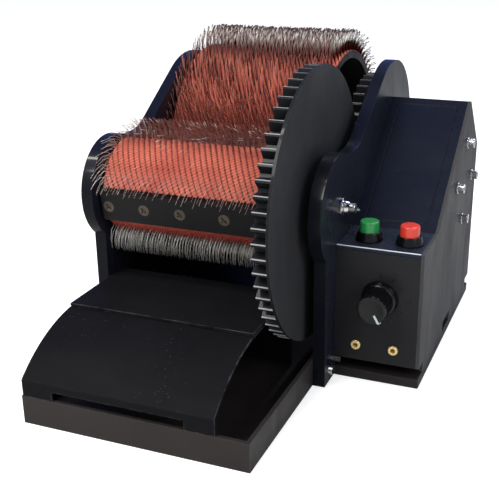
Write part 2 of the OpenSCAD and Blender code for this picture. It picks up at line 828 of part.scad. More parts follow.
// Cap screws through the cover into the motor bracket, each on a thick washer
module cover_screws() {
  color("silver") bracket_places(cover_x1) {
    cylinder(h = 2, r = 5.4);
    translate([0, 0, 2]) cap_screw(cover_bolt_r, 4.4, 5.5, cover_t + bracket_t + 2);
  }
}

// Push-button body: conical bezel over the shelf and a barrel below it
module button_bodies() {
  color("#151517") for (x = button_xs) translate([x, button_y, shelf_z]) rotate_extrude() polygon([
    [stem_r + run_fit, well_z], [cap_r + end_play, well_z], [cap_r + end_play, bezel_h], [bezel_r1, bezel_h],
    [bezel_r0, 1.5], [bezel_r0, 0], [barrel_r, 0], [barrel_r, -barrel_len], [stem_r + run_fit, -barrel_len]
  ]);
}

module button_nuts() {
  nut_t = 4;
  color("#9a9a9e") for (x = button_xs) translate([x, button_y, shelf_z - panel_t - nut_t])
    hex_nut(barrel_r + 3.5, barrel_r + run_fit, nut_t);
}

// Button cap with a crowned edge and its stem
module button_cap(x) {
  top = bezel_h + cap_rise;
  foot = well_z + cap_travel + 0.4;
  translate([x, button_y, shelf_z]) rotate_extrude() polygon([
    [0, foot - stem_len], [stem_r, foot - stem_len], [stem_r, foot], [cap_r, foot], [cap_r, top - 1.2],
    [cap_r - 0.4, top - 0.4], [cap_r - 1.2, top], [0, top]
  ]);
}

module green_button() {
  color("#2f9a4c") button_cap(button_xs[0]);
}

module red_button() {
  color("#e0322b") button_cap(button_xs[1]);
}

// Dial ticks round the knob on the front panel
module speed_dial() {
  color("#3a3a3d") translate([knob_x, box_front, knob_z]) rotate([90, 0, 0])
    for (i = [0 : tick_count - 1]) rotate(dial_sweep * (i / (tick_count - 1) - 0.5))
      translate([-0.5, tick_r - (i % 5 == 0 ? 1 : 0), 0]) cube([1, i % 5 == 0 ? 4 : 2.5, 0.6]);
}

// Knob on its shaft, with a wide skirt and a slightly tapered grip
module speed_knob() {
  skirt_h = 5;
  hollow_r = bushing_r + 5;
  hollow_d = 4;
  color("#101012") translate([knob_x, box_front, knob_z]) rotate([90, 0, 0]) {
    rotate_extrude() polygon([
      [0, -panel_t - pot_len + 2], [pot_shaft_r, -panel_t - pot_len + 2], [pot_shaft_r, knob_gap + hollow_d],
      [hollow_r, knob_gap + hollow_d], [hollow_r, knob_gap], [skirt_r, knob_gap], [skirt_r, knob_gap + 2],
      [skirt_r - 1.5, knob_gap + skirt_h], [knob_r + 0.6, knob_gap + skirt_h], [knob_r, knob_len],
      [knob_r - 0.8, knob_len + 0.8], [0, knob_len + 0.8]
    ]);
  }
}

// White line across the knob's face
module knob_pointer() {
  color("#d8e4ee") translate([knob_x, box_front, knob_z]) rotate([90, 0, 0]) rotate(-dial_sweep / 2)
    translate([-0.7, knob_r * 0.45, knob_len + 0.8]) cube([1.4, knob_r * 0.45, 0.3]);
}

// Rotary control behind the front panel, with its bushing through the panel
module speed_control() {
  color("#6c7a52") translate([knob_x, box_front, knob_z]) rotate([90, 0, 0]) rotate_extrude() polygon([
    [pot_shaft_r + run_fit, -panel_t - pot_len], [pot_r, -panel_t - pot_len], [pot_r, -panel_t],
    [bushing_r, -panel_t], [bushing_r, knob_gap + 2], [pot_shaft_r + run_fit, knob_gap + 2]
  ]);
}

module control_nut() {
  color("#9a9a9e") translate([knob_x, box_front, knob_z]) rotate([90, 0, 0])
    hex_nut(bushing_r + 3, bushing_r + run_fit, 2);
}

// Brass sockets for the power leads
module power_sockets() {
  color("#d9b653") for (x = jack_xs) translate([x, box_front, jack_z]) rotate([90, 0, 0])
    rotate_extrude() polygon([
      [0, -jack_len], [jack_barrel_r, -jack_len], [jack_barrel_r, 0], [jack_ring_r, 0], [jack_ring_r, 1.5],
      [jack_ring_r - 0.5, 2], [jack_r, 2], [jack_r, -jack_len + 3], [0, -jack_len + 3]
    ]);
}

module socket_nuts() {
  nut_t = 3;
  color("#d9b653") for (x = jack_xs) translate([x, box_front + panel_t, jack_z]) rotate([-90, 0, 0])
    hex_nut(jack_barrel_r + 2.6, jack_barrel_r + run_fit, nut_t);
}

// Speed controller's circuit board on its posts
module speed_board() {
  color("#1f5a38") translate([board_x0, board_y, plinth_t + board_rise])
    cube([board_size[0], board_size[1], board_t]);
}

// Heat sink, two storage cans and a relay on the board
module board_parts() {
  row_y = board_size[1] / 2;
  color("#50555c") translate([board_x0, board_y, plinth_t + board_rise + board_t]) {
    translate([(board_size[0] - sink_size[0]) / 2, sink_size[1] * 0.7, 0]) cube(sink_size);
    for (i = [0, 1]) translate([2.5 * store_r, row_y + 2.7 * i * store_r, 0])
      cylinder(h = store_h, r = store_r);
    translate([board_size[0] - 1.7 * relay_size[0], row_y, 0]) cube(relay_size);
  }
}

module board_posts() {
  edge = post_r + 2;
  color("#9a9a9e") for (x = [edge, board_size[0] - edge], y = [edge, board_size[1] - edge])
    translate([board_x0 + x, board_y + y, plinth_t]) cylinder(h = board_rise, r = post_r);
}

base_tray();
left_plate();
right_plate();
plate_bolts();
plate_nuts();
feed_tray();
feed_board();
main_bearings();
licker_axle();
axle_spacers();
axle_washers();
wing_nut_left();
wing_nut_right();
licker_pipe();
licker_discs();
licker_bushes();
licker_cloth();
licker_bar();
licker_bar_screws();
licker_gear();
main_pipe();
main_discs();
main_shaft();
main_cloth();
main_bar();
main_bar_screws();
main_gear();
shaft_collar();
driven_gear();
motor_pinion();
motor_gearbox();
motor_can();
motor_bracket();
box_floor();
front_panel();
button_shelf();
sloped_panel();
crest_panel();
rear_panel();
right_cover();
cover_screws();
button_bodies();
button_nuts();
green_button();
red_button();
speed_dial();
speed_knob();
knob_pointer();
speed_control();
control_nut();
power_sockets();
socket_nuts();
speed_board();
board_parts();
board_posts();
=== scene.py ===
# %% [markdown]
# # Electric drum carder
# A drum carder combs raw wool. Fibre lies on the feed tray, the small licker drum picks it up,
# and the large carding drum draws it out between two beds of bent wire.
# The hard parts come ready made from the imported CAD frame. This lesson dresses them: it gives every
# panel its finish, and builds the pieces that need a finer surface than a plain solid can give.

# %% Load the frame
import math

import bpy
import numpy as np
from mathutils import Matrix, Vector


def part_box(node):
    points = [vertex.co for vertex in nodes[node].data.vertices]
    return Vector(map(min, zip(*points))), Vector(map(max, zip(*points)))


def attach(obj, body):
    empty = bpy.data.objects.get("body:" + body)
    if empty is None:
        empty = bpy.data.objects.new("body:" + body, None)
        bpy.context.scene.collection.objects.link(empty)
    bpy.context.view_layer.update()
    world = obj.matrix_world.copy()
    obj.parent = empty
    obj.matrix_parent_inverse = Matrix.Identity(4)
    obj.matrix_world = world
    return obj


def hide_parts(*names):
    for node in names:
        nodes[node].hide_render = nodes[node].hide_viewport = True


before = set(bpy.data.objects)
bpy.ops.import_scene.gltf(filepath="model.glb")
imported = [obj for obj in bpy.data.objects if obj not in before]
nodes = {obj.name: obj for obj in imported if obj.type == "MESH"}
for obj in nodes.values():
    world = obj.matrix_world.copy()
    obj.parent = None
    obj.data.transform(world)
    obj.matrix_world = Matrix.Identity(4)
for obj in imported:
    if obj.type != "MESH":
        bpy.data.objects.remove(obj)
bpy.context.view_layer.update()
scene = bpy.context.scene
MM = 0.001

# %% [markdown]
# ## Camera
# The picture was taken from the front right, a little above the machine. The lens and place were
# worked out from straight edges of known length, so the camera is written down as plain numbers.

# %% Camera
PICTURE_SIDE = 500
FOCAL_PIXELS = 919.8
SENSOR = 36.0
CAMERA_PLACE = (0.3267, -0.6769, 0.3954)
CAMERA_DOWN = 20.62
CAMERA_TURN = 22.775
CAMERA_ROLL = -0.84

camera_data = bpy.data.cameras.new("front_right_camera")
camera_data.sensor_width = SENSOR
camera_data.lens = SENSOR * FOCAL_PIXELS / PICTURE_SIDE
camera = bpy.data.objects.new("front_right_camera", camera_data)
camera.matrix_world = (
    Matrix.Translation(CAMERA_PLACE)
    @ Matrix.Rotation(math.radians(CAMERA_TURN), 4, "Z")
    @ Matrix.Rotation(math.radians(90 - CAMERA_DOWN), 4, "X")
    @ Matrix.Rotation(math.radians(CAMERA_ROLL), 4, "Z")
)
scene.collection.objects.link(camera)
scene.camera = camera
scene.view_settings.view_transform = "Standard"
print("lens in mm:", round(camera_data.lens, 1))

# %% [markdown]
# ## Surfaces from arrays
# A surface can be pushed and pulled by hand, or worked out as a function of two parameters.
# The second way is chosen here: the points are one numpy array of rows and columns, and the faces
# follow from the counting alone. `mesh_piece` hands both to Blender in one go.


# %% Helpers for meshes
def mesh_piece(name, points, faces, smooth=True):
    """A mesh object at the origin. points is n by 3 in metres, faces is m by 3 or m by 4."""
    points = np.asarray(points, np.float32).reshape(-1, 3)
    faces = np.asarray(faces, np.int32)
    count, corners = faces.shape
    mesh = bpy.data.meshes.new(name)
    mesh.vertices.add(len(points))
    mesh.vertices.foreach_set("co", points.ravel())
    mesh.loops.add(count * corners)
    mesh.loops.foreach_set("vertex_index", faces.ravel())
    mesh.polygons.add(count)
    mesh.polygons.foreach_set("loop_start", np.arange(count, dtype=np.int32) * corners)
    mesh.polygons.foreach_set("use_smooth", np.full(count, smooth))
    mesh.update(calc_edges=True)
    mesh.validate()
    piece = bpy.data.objects.new(name, mesh)
    scene.collection.objects.link(piece)
    return piece


def grid_faces(rows, columns, close_rows=False, close_columns=False, first=0):
    """Four-sided faces of a grid: cell (i, j) joins points i, i+1 and j, j+1,
    and closed ways wrap round."""
    i, j = np.meshgrid(
        np.arange(rows if close_rows else rows - 1),
        np.arange(columns if close_columns else columns - 1), indexing="ij")
    i, j = i.ravel(), j.ravel()
    below, beside = (i + 1) % rows, (j + 1) % columns
    corners = (i * columns + j, below * columns + j, below * columns + beside, i * columns + beside)
    return np.stack(corners, 1) + first


def closed_sweep(rings):
    """A skin over rings of points, with a flat fan of faces over both ends. It joins point j of ring i
    to its neighbours, and each end ring to its middle, and all its faces look outward."""
    count, around = rings.shape[:2]
    points = np.concatenate([rings.reshape(-1, 3), rings[0].mean(0)[None], rings[-1].mean(0)[None]])
    skin = grid_faces(count, around, close_columns=True)
    j = np.arange(around)
    beside = (j + 1) % around
    start, end = count * around, count * around + 1
    last = (count - 1) * around
    cap_a = np.stack([np.full(around, start), j, beside], 1)
    cap_b = np.stack([np.full(around, end), last + beside, last + j], 1)
    split = np.concatenate([skin[:, [0, 1, 2]], skin[:, [0, 2, 3]]])
    return points, outward(points, np.concatenate([split, cap_a, cap_b]))


def turned_rings(radius, height, place, along, across, around=48):
    """Rings of a lathe shape: at each height along the axis a circle of that radius. A ring has one,
    or one for each of its points."""
    along, across = np.array(along, float), np.array(across, float)
    turn = np.linspace(0, 2 * np.pi, around, endpoint=False)[None, :, None]
    spoke = np.cos(turn) * across + np.sin(turn) * np.cross(along, across)
    radius = np.broadcast_to(np.asarray(radius, float).reshape(len(height), -1), (len(height), around))
    return np.array(place) + radius[..., None] * spoke + np.asarray(height, float)[:, None, None] * along


def joined(shapes):
    """Several shapes as one: their points one after another,
    and each shape's faces counted on from the last."""
    first = np.cumsum([0] + [len(points) for points, _ in shapes[:-1]])
    faces = [faces + start for (_, faces), start in zip(shapes, first)]
    return np.concatenate([points for points, _ in shapes]), np.concatenate(faces)


def outward(points, faces):
    """The same three-sided faces, turned over where the closed shape's volume comes out negative."""
    a, b, c = (points[faces[:, k]] for k in range(3))
    volume = np.einsum("ij,ij->i", a, np.cross(b, c)).sum()
    return faces if volume > 0 else faces[:, ::-1]


def point_value(piece, name, values):
    """A number for each point of a piece, which a material reads by its name."""
    made = piece.data.attributes.new(name, "FLOAT", "POINT")
    made.data.foreach_set("value", np.asarray(values, np.float32))


def place_of(node):
    """Middle and half size of a CAD node's box, in metres."""
    low, high = (np.array(corner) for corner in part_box(node))
    return (low + high) / 2, (high - low) / 2


print("helpers ready")

# %% [markdown]
# ## Helpers for finishes
# A finish is a small graph of shader nodes. Writing each node and its links by hand is long,
# so `node` makes one and `feed` sets its inputs, each to a value or to another node's output.


# %% Helpers for node graphs
def feed(fed, inputs):
    """Sets a node's inputs, each by its name or number, to a value or to another node's socket.
    A colour is three numbers, and gets full cover here."""
    for name, value in inputs.items():
        socket = fed.inputs[name]
        if isinstance(value, bpy.types.NodeSocket):
            fed.id_data.links.new(value, socket)
        else:
            socket.default_value = (*value, 1.0) if socket.type == "RGBA" else value


def node(tree, kind, inputs=None, **settings):
    """A node of that kind, named in a shader tree without its first word, ShaderNode."""
    made = tree.nodes.new(("ShaderNode" if tree.type == "SHADER" else "") + kind)
    for name, value in settings.items():
        setattr(made, name, value)
    feed(made, inputs or {})
    return made


def calc(tree, operation, a, b=0.0):
    """Result of one Math node on two values or sockets."""
    return node(tree, "Math", {0: a, 1: b}, operation=operation).outputs[0]


def product(tree, first, *others):
    """Several values or sockets multiplied together."""
    for value in others:
        first = calc(tree, "MULTIPLY", first, value)
    return first


def from_whole(tree, value):
    """How far a value lies from the nearest whole number."""
    return calc(tree, "SUBTRACT", value, calc(tree, "ROUND", value))


def ramp(tree, value, low, high, out_low=0.0, out_high=1.0):
    """A value moved from one range to another and held inside it."""
    inputs = {"Value": value, "From Min": low, "From Max": high, "To Min": out_low, "To Max": out_high}
    return node(tree, "MapRange", inputs).outputs[0]


def blend(tree, share, a, b):
    """Colour a where share is 0 and colour b where it is 1."""
    return node(tree, "Mix", {0: share, 6: a, 7: b}, data_type="RGBA").outputs[2]


def noise(tree, where, scale, **others):
    """A noise texture of that scale, with its other inputs by name."""
    return node(tree, "TexNoise", {"Vector": where, "Scale": scale, **others}).outputs["Fac"]


def attribute(tree, name):
    """A number that a mesh holds for each of its points."""
    return node(tree, "Attribute", attribute_name=name).outputs["Fac"]


def normal_parts(tree):
    """The three parts of the direction that a surface faces."""
    normal = node(tree, "NewGeometry").outputs["Normal"]
    return node(tree, "SeparateXYZ", {0: normal}).outputs


def new_group(name, inputs, outputs):
    """An empty shader node group, its start and its end. inputs gives each label a number, or None
    for a vector, and outputs are labels of numbers."""
    tree = bpy.data.node_groups.new(name, "ShaderNodeTree")
    for label, value in inputs.items():
        kind = "NodeSocketVector" if value is None else "NodeSocketFloat"
        socket = tree.interface.new_socket(label, in_out="INPUT", socket_type=kind)
        if value is not None:
            socket.default_value = value
    for label in outputs:
        tree.interface.new_socket(label, in_out="OUTPUT", socket_type="NodeSocketFloat")
    return tree, tree.nodes.new("NodeGroupInput").outputs, tree.nodes.new("NodeGroupOutput")


print("node helpers ready")

# %% [markdown]
# ## Shared effects
# Moulded plastic is never quite even: it has a fine grain, cloudy patches where the sheen changes,
# paler edges where hands and tools have rubbed it, which also serve as a painted edge highlight,
# and a little lint.
# Each effect could be drawn again in every material. One group for each is better: it is built once,
# and every material places it with its own values.

# %% Grain and cloudiness
grain, g_in, g_out = new_group(
    "moulded_grain", {"Vector": None, "Grain Scale": 900.0, "Cloud Scale": 14.0}, ["Height", "Cloud"])
fine = noise(grain, g_in["Vector"], g_in["Grain Scale"], Detail=2.0, Roughness=0.6)
cloud = noise(grain, g_in["Vector"], g_in["Cloud Scale"], Detail=4.0, Roughness=0.55)
feed(g_out, {"Height": fine, "Cloud": ramp(grain, cloud, 0.3, 0.7)})
print("group:", grain.name)

# %% Rubbed edges, which are also a painted edge highlight
edge_wear_and_highlight, w_in, w_out = new_group(
    "rubbed_and_highlit_edges", {"Vector": None, "Width": 0.0012, "Breaks": 160.0}, ["Mask"])
rounded = node(edge_wear_and_highlight, "Bevel", {"Radius": w_in["Width"]}, samples=4)
facing = node(edge_wear_and_highlight, "NewGeometry")
likeness = node(edge_wear_and_highlight, "VectorMath", {
    0: rounded.outputs["Normal"], 1: facing.outputs["Normal"]}, operation="DOT_PRODUCT").outputs["Value"]
near_edge = ramp(edge_wear_and_highlight, likeness, 0.99, 0.78)
broken = noise(edge_wear_and_highlight, w_in["Vector"], w_in["Breaks"], Detail=3.0)
feed(w_out, {"Mask": product(edge_wear_and_highlight, near_edge, ramp(edge_wear_and_highlight, broken, 0.35, 0.62))})
print("group:", edge_wear_and_highlight.name)

# %% Lint and handling
lint, l_in, l_out = new_group("lint_and_touch", {"Vector": None}, ["Lint", "Touch"])
specks = node(lint, "TexVoronoi", {"Vector": l_in["Vector"], "Scale": 260.0}).outputs["Distance"]
patches = noise(lint, l_in["Vector"], 22.0, Detail=3.0)
upward = ramp(lint, normal_parts(lint)["Z"], 0.2, 0.9)
settled = product(lint, ramp(lint, patches, 0.5, 0.7), upward)
lying = product(lint, ramp(lint, specks, 0.12, 0.06), settled)
streaked = node(lint, "Mapping", {"Vector": l_in["Vector"], "Scale": (9.0, 30.0, 11.0)})
smears = noise(lint, streaked.outputs[0], 1.0, Detail=5.0, Distortion=0.6)
feed(l_out, {"Lint": lying, "Touch": ramp(lint, smears, 0.35, 0.68)})
print("group:", lint.name)

# %% Turned metal
turned, t_in, t_out = new_group("turned_metal", {"Vector": None, "Lines": 1400.0}, ["Height", "Shade"])
along = node(turned, "Mapping", {"Vector": t_in["Vector"], "Scale": (1.0, 0.04, 0.04)})
lines = noise(turned, along.outputs[0], t_in["Lines"], Detail=2.0)
feed(t_out, {"Height": lines, "Shade": ramp(turned, lines, 0.3, 0.7)})
print("group:", turned.name)

# %% Painted highlights on the tooth edges
# The edge is given in shares of a tooth, and the tip in metres below the outer circle.
TOOTH_EDGE, TOOTH_TIP = (-0.035, -0.06), (0.0014, 0.001)
tooth_highlights, p_in, p_out = new_group(
    "painted_tooth_highlights",
    {"Vector": None, "Centre": None, "Tip Radius": 0.1, "Teeth End": 0.1, "Teeth": 60.0,
     "First Tooth": 0.0}, ["Mask"])
from_axis = node(tooth_highlights, "VectorMath", {0: p_in["Vector"], 1: p_in["Centre"]}, operation="SUBTRACT")
part = node(tooth_highlights, "SeparateXYZ", {0: from_axis.outputs[0]}).outputs
squares = [calc(tooth_highlights, "POWER", part[way], 2.0) for way in ("Y", "Z")]
spread = calc(tooth_highlights, "SQRT", calc(tooth_highlights, "ADD", *squares))
turn = calc(tooth_highlights, "SUBTRACT", calc(tooth_highlights, "ARCTAN2", part["Z"], part["Y"]), p_in["First Tooth"])
tooth = calc(tooth_highlights, "DIVIDE", product(tooth_highlights, turn, p_in["Teeth"]), 2 * math.pi)
on_edge = ramp(tooth_highlights, from_whole(tooth_highlights, tooth), *TOOTH_EDGE)
outside = ramp(tooth_highlights, calc(tooth_highlights, "SUBTRACT", p_in["Tip Radius"], spread), *TOOTH_TIP)
place_across = node(tooth_highlights, "SeparateXYZ", {0: p_in["Vector"]}).outputs["X"]
before_end = calc(tooth_highlights, "LESS_THAN", place_across, p_in["Teeth End"])
feed(p_out, {"Mask": product(tooth_highlights, on_edge, outside, before_end)})
print("group:", tooth_highlights.name)

# %% Polished rims, with painted shade on the rim faces and a painted highlight on the lip
rims, r_in, r_out = new_group("rim_coat_and_painted_light", {"Amount": 0.5}, ["Side", "Coat", "Lip Highlight"])
faces_to = normal_parts(rims)
on_rim = ramp(rims, calc(rims, "ABSOLUTE", faces_to["X"]), 0.5, 0.2)
on_top = ramp(rims, faces_to["Z"], 0.1, 0.45)
on_front, on_slope = ramp(rims, faces_to["Y"], -0.06, -0.2), ramp(rims, faces_to["Z"], 0.06, 0.2)
# The side output darkens the rim faces as painted shade. The lip output marks an edge between a front and
# a top for a painted highlight. The coat is real gloss.
feed(r_out, {
    "Side": on_rim, "Coat": product(rims, on_rim, on_top, r_in["Amount"]),
    "Lip Highlight": product(rims, on_front, on_slope)})
print("group:", rims.name)

# %% [markdown]
# ## Finishes
# `plastic` and `metal` each make a material from a base colour and a few numbers.
# Values that are the same all over sit on the shader's own sockets,
# and only what changes over the surface comes through the groups.


# %% Plastic finishes
def bare_material(name, values):
    """A material with a Principled shader that has those values all over, its tree, the shader,
    and Object coordinates."""
    made = bpy.data.materials.new(name)
    made.use_nodes = True
    tree = made.node_tree
    shader = tree.nodes["Principled BSDF"]
    feed(shader, values)
    return made, tree, shader, node(tree, "TexCoord").outputs["Object"]


def effect(tree, group, inputs):
    """Outputs of a shared effect placed in a material with its own values."""
    return node(tree, "Group", inputs, node_tree=group).outputs


def bump(tree, shader, height, strength, depth):
    """A bump of that depth in metres on a shader."""
    made = node(tree, "Bump", {"Height": height, "Strength": strength, "Distance": depth})
    feed(shader, {"Normal": made.outputs[0]})


# The side cover and side colour are painted shade on the faces of a rim: how much of it, and the
# near-black it goes to.
CLOUD_SHADE, SIDE_SHADE_COVER, LINT_COVER = 0.72, 0.75, 0.35
SIDE_SHADE_BLACK, LINT_GREY, TOOTH_HIGHLIGHT = (0.0035, 0.004, 0.006), (0.3, 0.29, 0.28), (0.4, 0.4, 0.42)


def plastic(name, colour, edge, sheen, grain_depth=0.00003, specular=0.5, coat=0.0,
            rim=0.0, gear=None, lip_highlight=None):
    """Moulded plastic: cloudy colour, paler rubbed edges that also serve as a painted edge highlight,
    lint on top, grain in the bump. sheen is the lowest and highest roughness. rim is how polished the
    upper faces are that run across the machine, and when it is given all faces of the rim also get
    painted shade. The lip colour is a painted highlight on an edge between a top and a front.
    A gear is given as its name, the width beside its teeth, their count and the first one's angle,
    to have a painted highlight on the driving edge of each tooth."""
    made, tree, shader, where = bare_material(name, {
        "Specular IOR Level": specular, "Coat Weight": coat, "Coat Roughness": 0.08})
    mould = effect(tree, grain, {"Vector": where})
    rub_and_highlight = effect(tree, edge_wear_and_highlight, {"Vector": where})["Mask"]
    touch = effect(tree, lint, {"Vector": where})
    base = blend(tree, mould["Cloud"], colour, [CLOUD_SHADE * c for c in colour])
    if rim:
        rim_coat_and_shade = effect(tree, rims, {"Amount": rim})
        # Painted shade: the faces of the rim are darkened towards near-black.
        base = blend(tree, product(tree, rim_coat_and_shade["Side"], SIDE_SHADE_COVER), base, SIDE_SHADE_BLACK)
        feed(shader, {"Coat Weight": rim_coat_and_shade["Coat"]})
    # Paler edges: rubbed wear, and also a painted highlight along the edges.
    base = blend(tree, rub_and_highlight, base, edge)
    base = blend(tree, product(tree, touch["Lint"], LINT_COVER), base, LINT_GREY)
    if gear:
        gear_name, beside, teeth, first = gear
        middle, half = place_of(gear_name)
        tooth_highlight = effect(tree, tooth_highlights, {
            "Vector": where, "Centre": tuple(middle), "Tip Radius": half[2],
            "Teeth End": middle[0] + half[0] - beside, "Teeth": teeth,
            "First Tooth": math.radians(first)})["Mask"]
        # A painted highlight on the driving edge of each tooth.
        base = blend(tree, tooth_highlight, base, TOOTH_HIGHLIGHT)
    if lip_highlight:
        # A painted highlight along the edge between a top and a front.
        base = blend(tree, effect(tree, rims, {})["Lip Highlight"], base, lip_highlight)
    feed(shader, {"Base Color": base, "Roughness": ramp(tree, touch["Touch"], 0.0, 1.0, *sheen)})
    bump(tree, shader, mould["Height"], 0.5, grain_depth)
    return made


SATIN, DULL, GLOSS = (0.24, 0.36), (0.46, 0.62), (0.2, 0.32)
FINE = 0.00001
BLACK, BLACK_EDGE = (0.0162, 0.0176, 0.0285), (0.03, 0.03, 0.034)
BOX = dict(edge=BLACK_EDGE, sheen=SATIN, specular=0.12)
GEAR = dict(
    colour=(0.034, 0.034, 0.037), edge=(0.06, 0.06, 0.065), sheen=DULL, specular=0.14, rim=0.28)
finish = {
    "black_shell": plastic("satin_black_shell", BLACK, BLACK_EDGE, SATIN, specular=0.1, rim=0.6),
    "feed_black": plastic(
        "dull_black_feed", (0.0098, 0.0098, 0.0118), (0.16, 0.16, 0.165), DULL, specular=0.05),
    # The blue in the box and shelf colours is a painted reflection of a blue sky on black plastic.
    "box_black": plastic("black_box_painted_sky_blue", (0.0132, 0.016, 0.0285), **BOX),
    "panel_black": plastic("satin_black_panel", (0.0225, 0.0225, 0.0245), **BOX),
    # The shelf's lip colour is a painted highlight on its front edge.
    "shelf_black": plastic("black_shelf_painted_sky_blue", (0.018, 0.024, 0.046), **BOX, lip_highlight=(0.85, 0.85, 0.87)),
    "tray_black": plastic(
        "warm_black_tray", (0.027, 0.0215, 0.02), (0.07, 0.06, 0.055), DULL, specular=0.3),
    "grey_cover": plastic(
        "satin_grey_cover", (0.068, 0.066, 0.068), (0.12, 0.12, 0.125), DULL, specular=0.1),
    "floor_board": plastic(
        "brown_black_board", (0.021, 0.018, 0.017), (0.05, 0.042, 0.04), DULL, specular=0.25),
    "black_gear": plastic("satin_black_gear", **GEAR, gear=("licker_gear", 6.6 * MM, 60, -0.6)),
    "small_gear": plastic("satin_black_small_gear", **GEAR, gear=("main_gear", 0.0, 41, 183.8)),
    "drum_pipe": plastic("dull_black_pipe", (0.0065, 0.0065, 0.007), BLACK_EDGE, DULL, specular=0.25),
    "black_gloss": plastic(
        "moulded_black", (0.004, 0.004, 0.0045), (0.02, 0.02, 0.022), GLOSS, FINE, specular=0.35),
    "green_gloss": plastic(
        "moulded_green", (0.026, 0.36, 0.085), (0.12, 0.56, 0.24), GLOSS, FINE, coat=0.2),
    "red_gloss": plastic("moulded_red", (0.88, 0.06, 0.034), (0.95, 0.2, 0.15), GLOSS, FINE, coat=0.2),
    "white_mark": plastic("pale_paint_line", (0.68, 0.78, 0.86), (0.8, 0.86, 0.9), SATIN, FINE),
    "grey_mark": plastic(
        "raised_dark_marks", (0.005, 0.005, 0.006), (0.035, 0.035, 0.038), SATIN, FINE, specular=0.3),
    "nylon_gear": plastic("natural_nylon", (0.66, 0.61, 0.52), (0.75, 0.72, 0.64), SATIN),
    "control_case": plastic("olive_case", (0.17, 0.2, 0.1), (0.26, 0.3, 0.18), SATIN),
    "circuit_board": plastic("green_laminate", (0.02, 0.15, 0.065), (0.12, 0.2, 0.1), SATIN),
    "circuit_parts": plastic("dark_components", (0.08, 0.085, 0.095), (0.14, 0.14, 0.15), SATIN),
    "motor_paint": plastic("motor_enamel", (0.06, 0.06, 0.065), (0.2, 0.2, 0.21), SATIN),
}
print("plastic finishes:", len(finish))


# %% Metal finishes
DULLED, LINE_ROUGH = 0.55, 0.06


def metal(name, colour, dull, sheen, lines=1400.0, depth=0.00002, bare=1.0):
    """Metal with fine turning lines, darker where it has dulled, smoother where it is touched.
    bare is less than 1 where lacquer lies over it."""
    made, tree, shader, where = bare_material(name, {"Metallic": bare})
    cut = effect(tree, turned, {"Vector": where, "Lines": lines})
    touch = effect(tree, lint, {"Vector": where})["Touch"]
    cloudy = effect(tree, grain, {"Vector": where, "Cloud Scale": 60.0})["Cloud"]
    base = blend(tree, product(tree, cloudy, DULLED), colour, dull)
    worn = ramp(tree, touch, 0.0, 1.0, *sheen)
    rough = calc(tree, "ADD", worn, product(tree, cut["Shade"], LINE_ROUGH))
    feed(shader, {"Base Color": base, "Roughness": rough})
    bump(tree, shader, cut["Height"], 0.4, depth)
    return made


finish["bronze_screws"] = metal("bronzed_steel", (0.15, 0.128, 0.102), (0.07, 0.06, 0.048), (0.4, 0.52))
finish["bright_hardware"] = metal("bright_plating", (0.82, 0.81, 0.79), (0.6, 0.58, 0.55), (0.1, 0.22))
finish["steel"] = metal("turned_steel", (0.62, 0.61, 0.6), (0.42, 0.41, 0.4), (0.22, 0.36))
finish["brass"] = metal("polished_brass", (1.0, 0.78, 0.36), (0.8, 0.58, 0.24), (0.16, 0.28), bare=0.6)
finish["bracket_metal"] = metal("milled_aluminium", (0.6, 0.6, 0.62), (0.45, 0.45, 0.47), (0.3, 0.42))
print("finishes in all:", len(finish))

# %% [markdown]
# ## Finish on the CAD parts
# The panels, plates and gears already have the right shape, so they stay and take a finish.
# Their edges are knife sharp, as CAD edges are, and real moulded edges are not: light runs along them.
# The edges could be modelled again, but modifiers do it better: the loose triangles are welded,
# the sharp edges are rounded, and a small node tree then shades smooth all but the sharp angles.

# %% Which finish each part takes
finish_of = {
    "black_shell": "left_plate right_plate",
    "feed_black": "feed_tray feed_board",
    "panel_black": "front_panel",
    "box_black": "sloped_panel crest_panel rear_panel",
    "shelf_black": "button_shelf",
    "tray_black": "base_tray",
    "grey_cover": "right_cover",
    "floor_board": "box_floor",
    "black_gear": "licker_gear",
    "small_gear": "main_gear",
    "drum_pipe": "licker_pipe licker_discs licker_bar main_pipe main_discs main_bar",
    "bronze_screws": "licker_bar_screws main_bar_screws",
    "bright_hardware": "plate_bolts plate_nuts axle_washers cover_screws wing_nut_left wing_nut_right",
    "steel": "main_bearings licker_axle axle_spacers main_shaft shaft_collar motor_pinion button_nuts"
             " control_nut board_posts",
    "brass": "power_sockets socket_nuts licker_bushes",
    "motor_paint": "motor_can motor_gearbox",
    "bracket_metal": "motor_bracket",
    "nylon_gear": "driven_gear",
    "black_gloss": "button_bodies speed_knob",
    "green_gloss": "green_button",
    "red_gloss": "red_button",
    "white_mark": "knob_pointer",
    "grey_mark": "speed_dial",
    "control_case": "speed_control",
    "circuit_board": "speed_board",
    "circuit_parts": "board_parts",
    "card_cloth": "licker_cloth main_cloth",
}
rounded_by = {
    1.5: "button_shelf", 1.1: "left_plate right_plate", 1.0: "box_floor", 0.8: "base_tray",
    0.6: "front_panel rear_panel right_cover main_shaft",
    0.5: "feed_tray feed_board sloped_panel crest_panel licker_bar main_bar shaft_collar",
    0.45: "licker_gear main_gear", 0.4: "button_bodies plate_bolts cover_screws main_bearings",
    0.3: "green_button red_button power_sockets axle_washers",
    0.2: "licker_bar_screws main_bar_screws", 0.12: "speed_dial",
}
edge_round = {name: width for width, names in rounded_by.items() for name in names.split()}

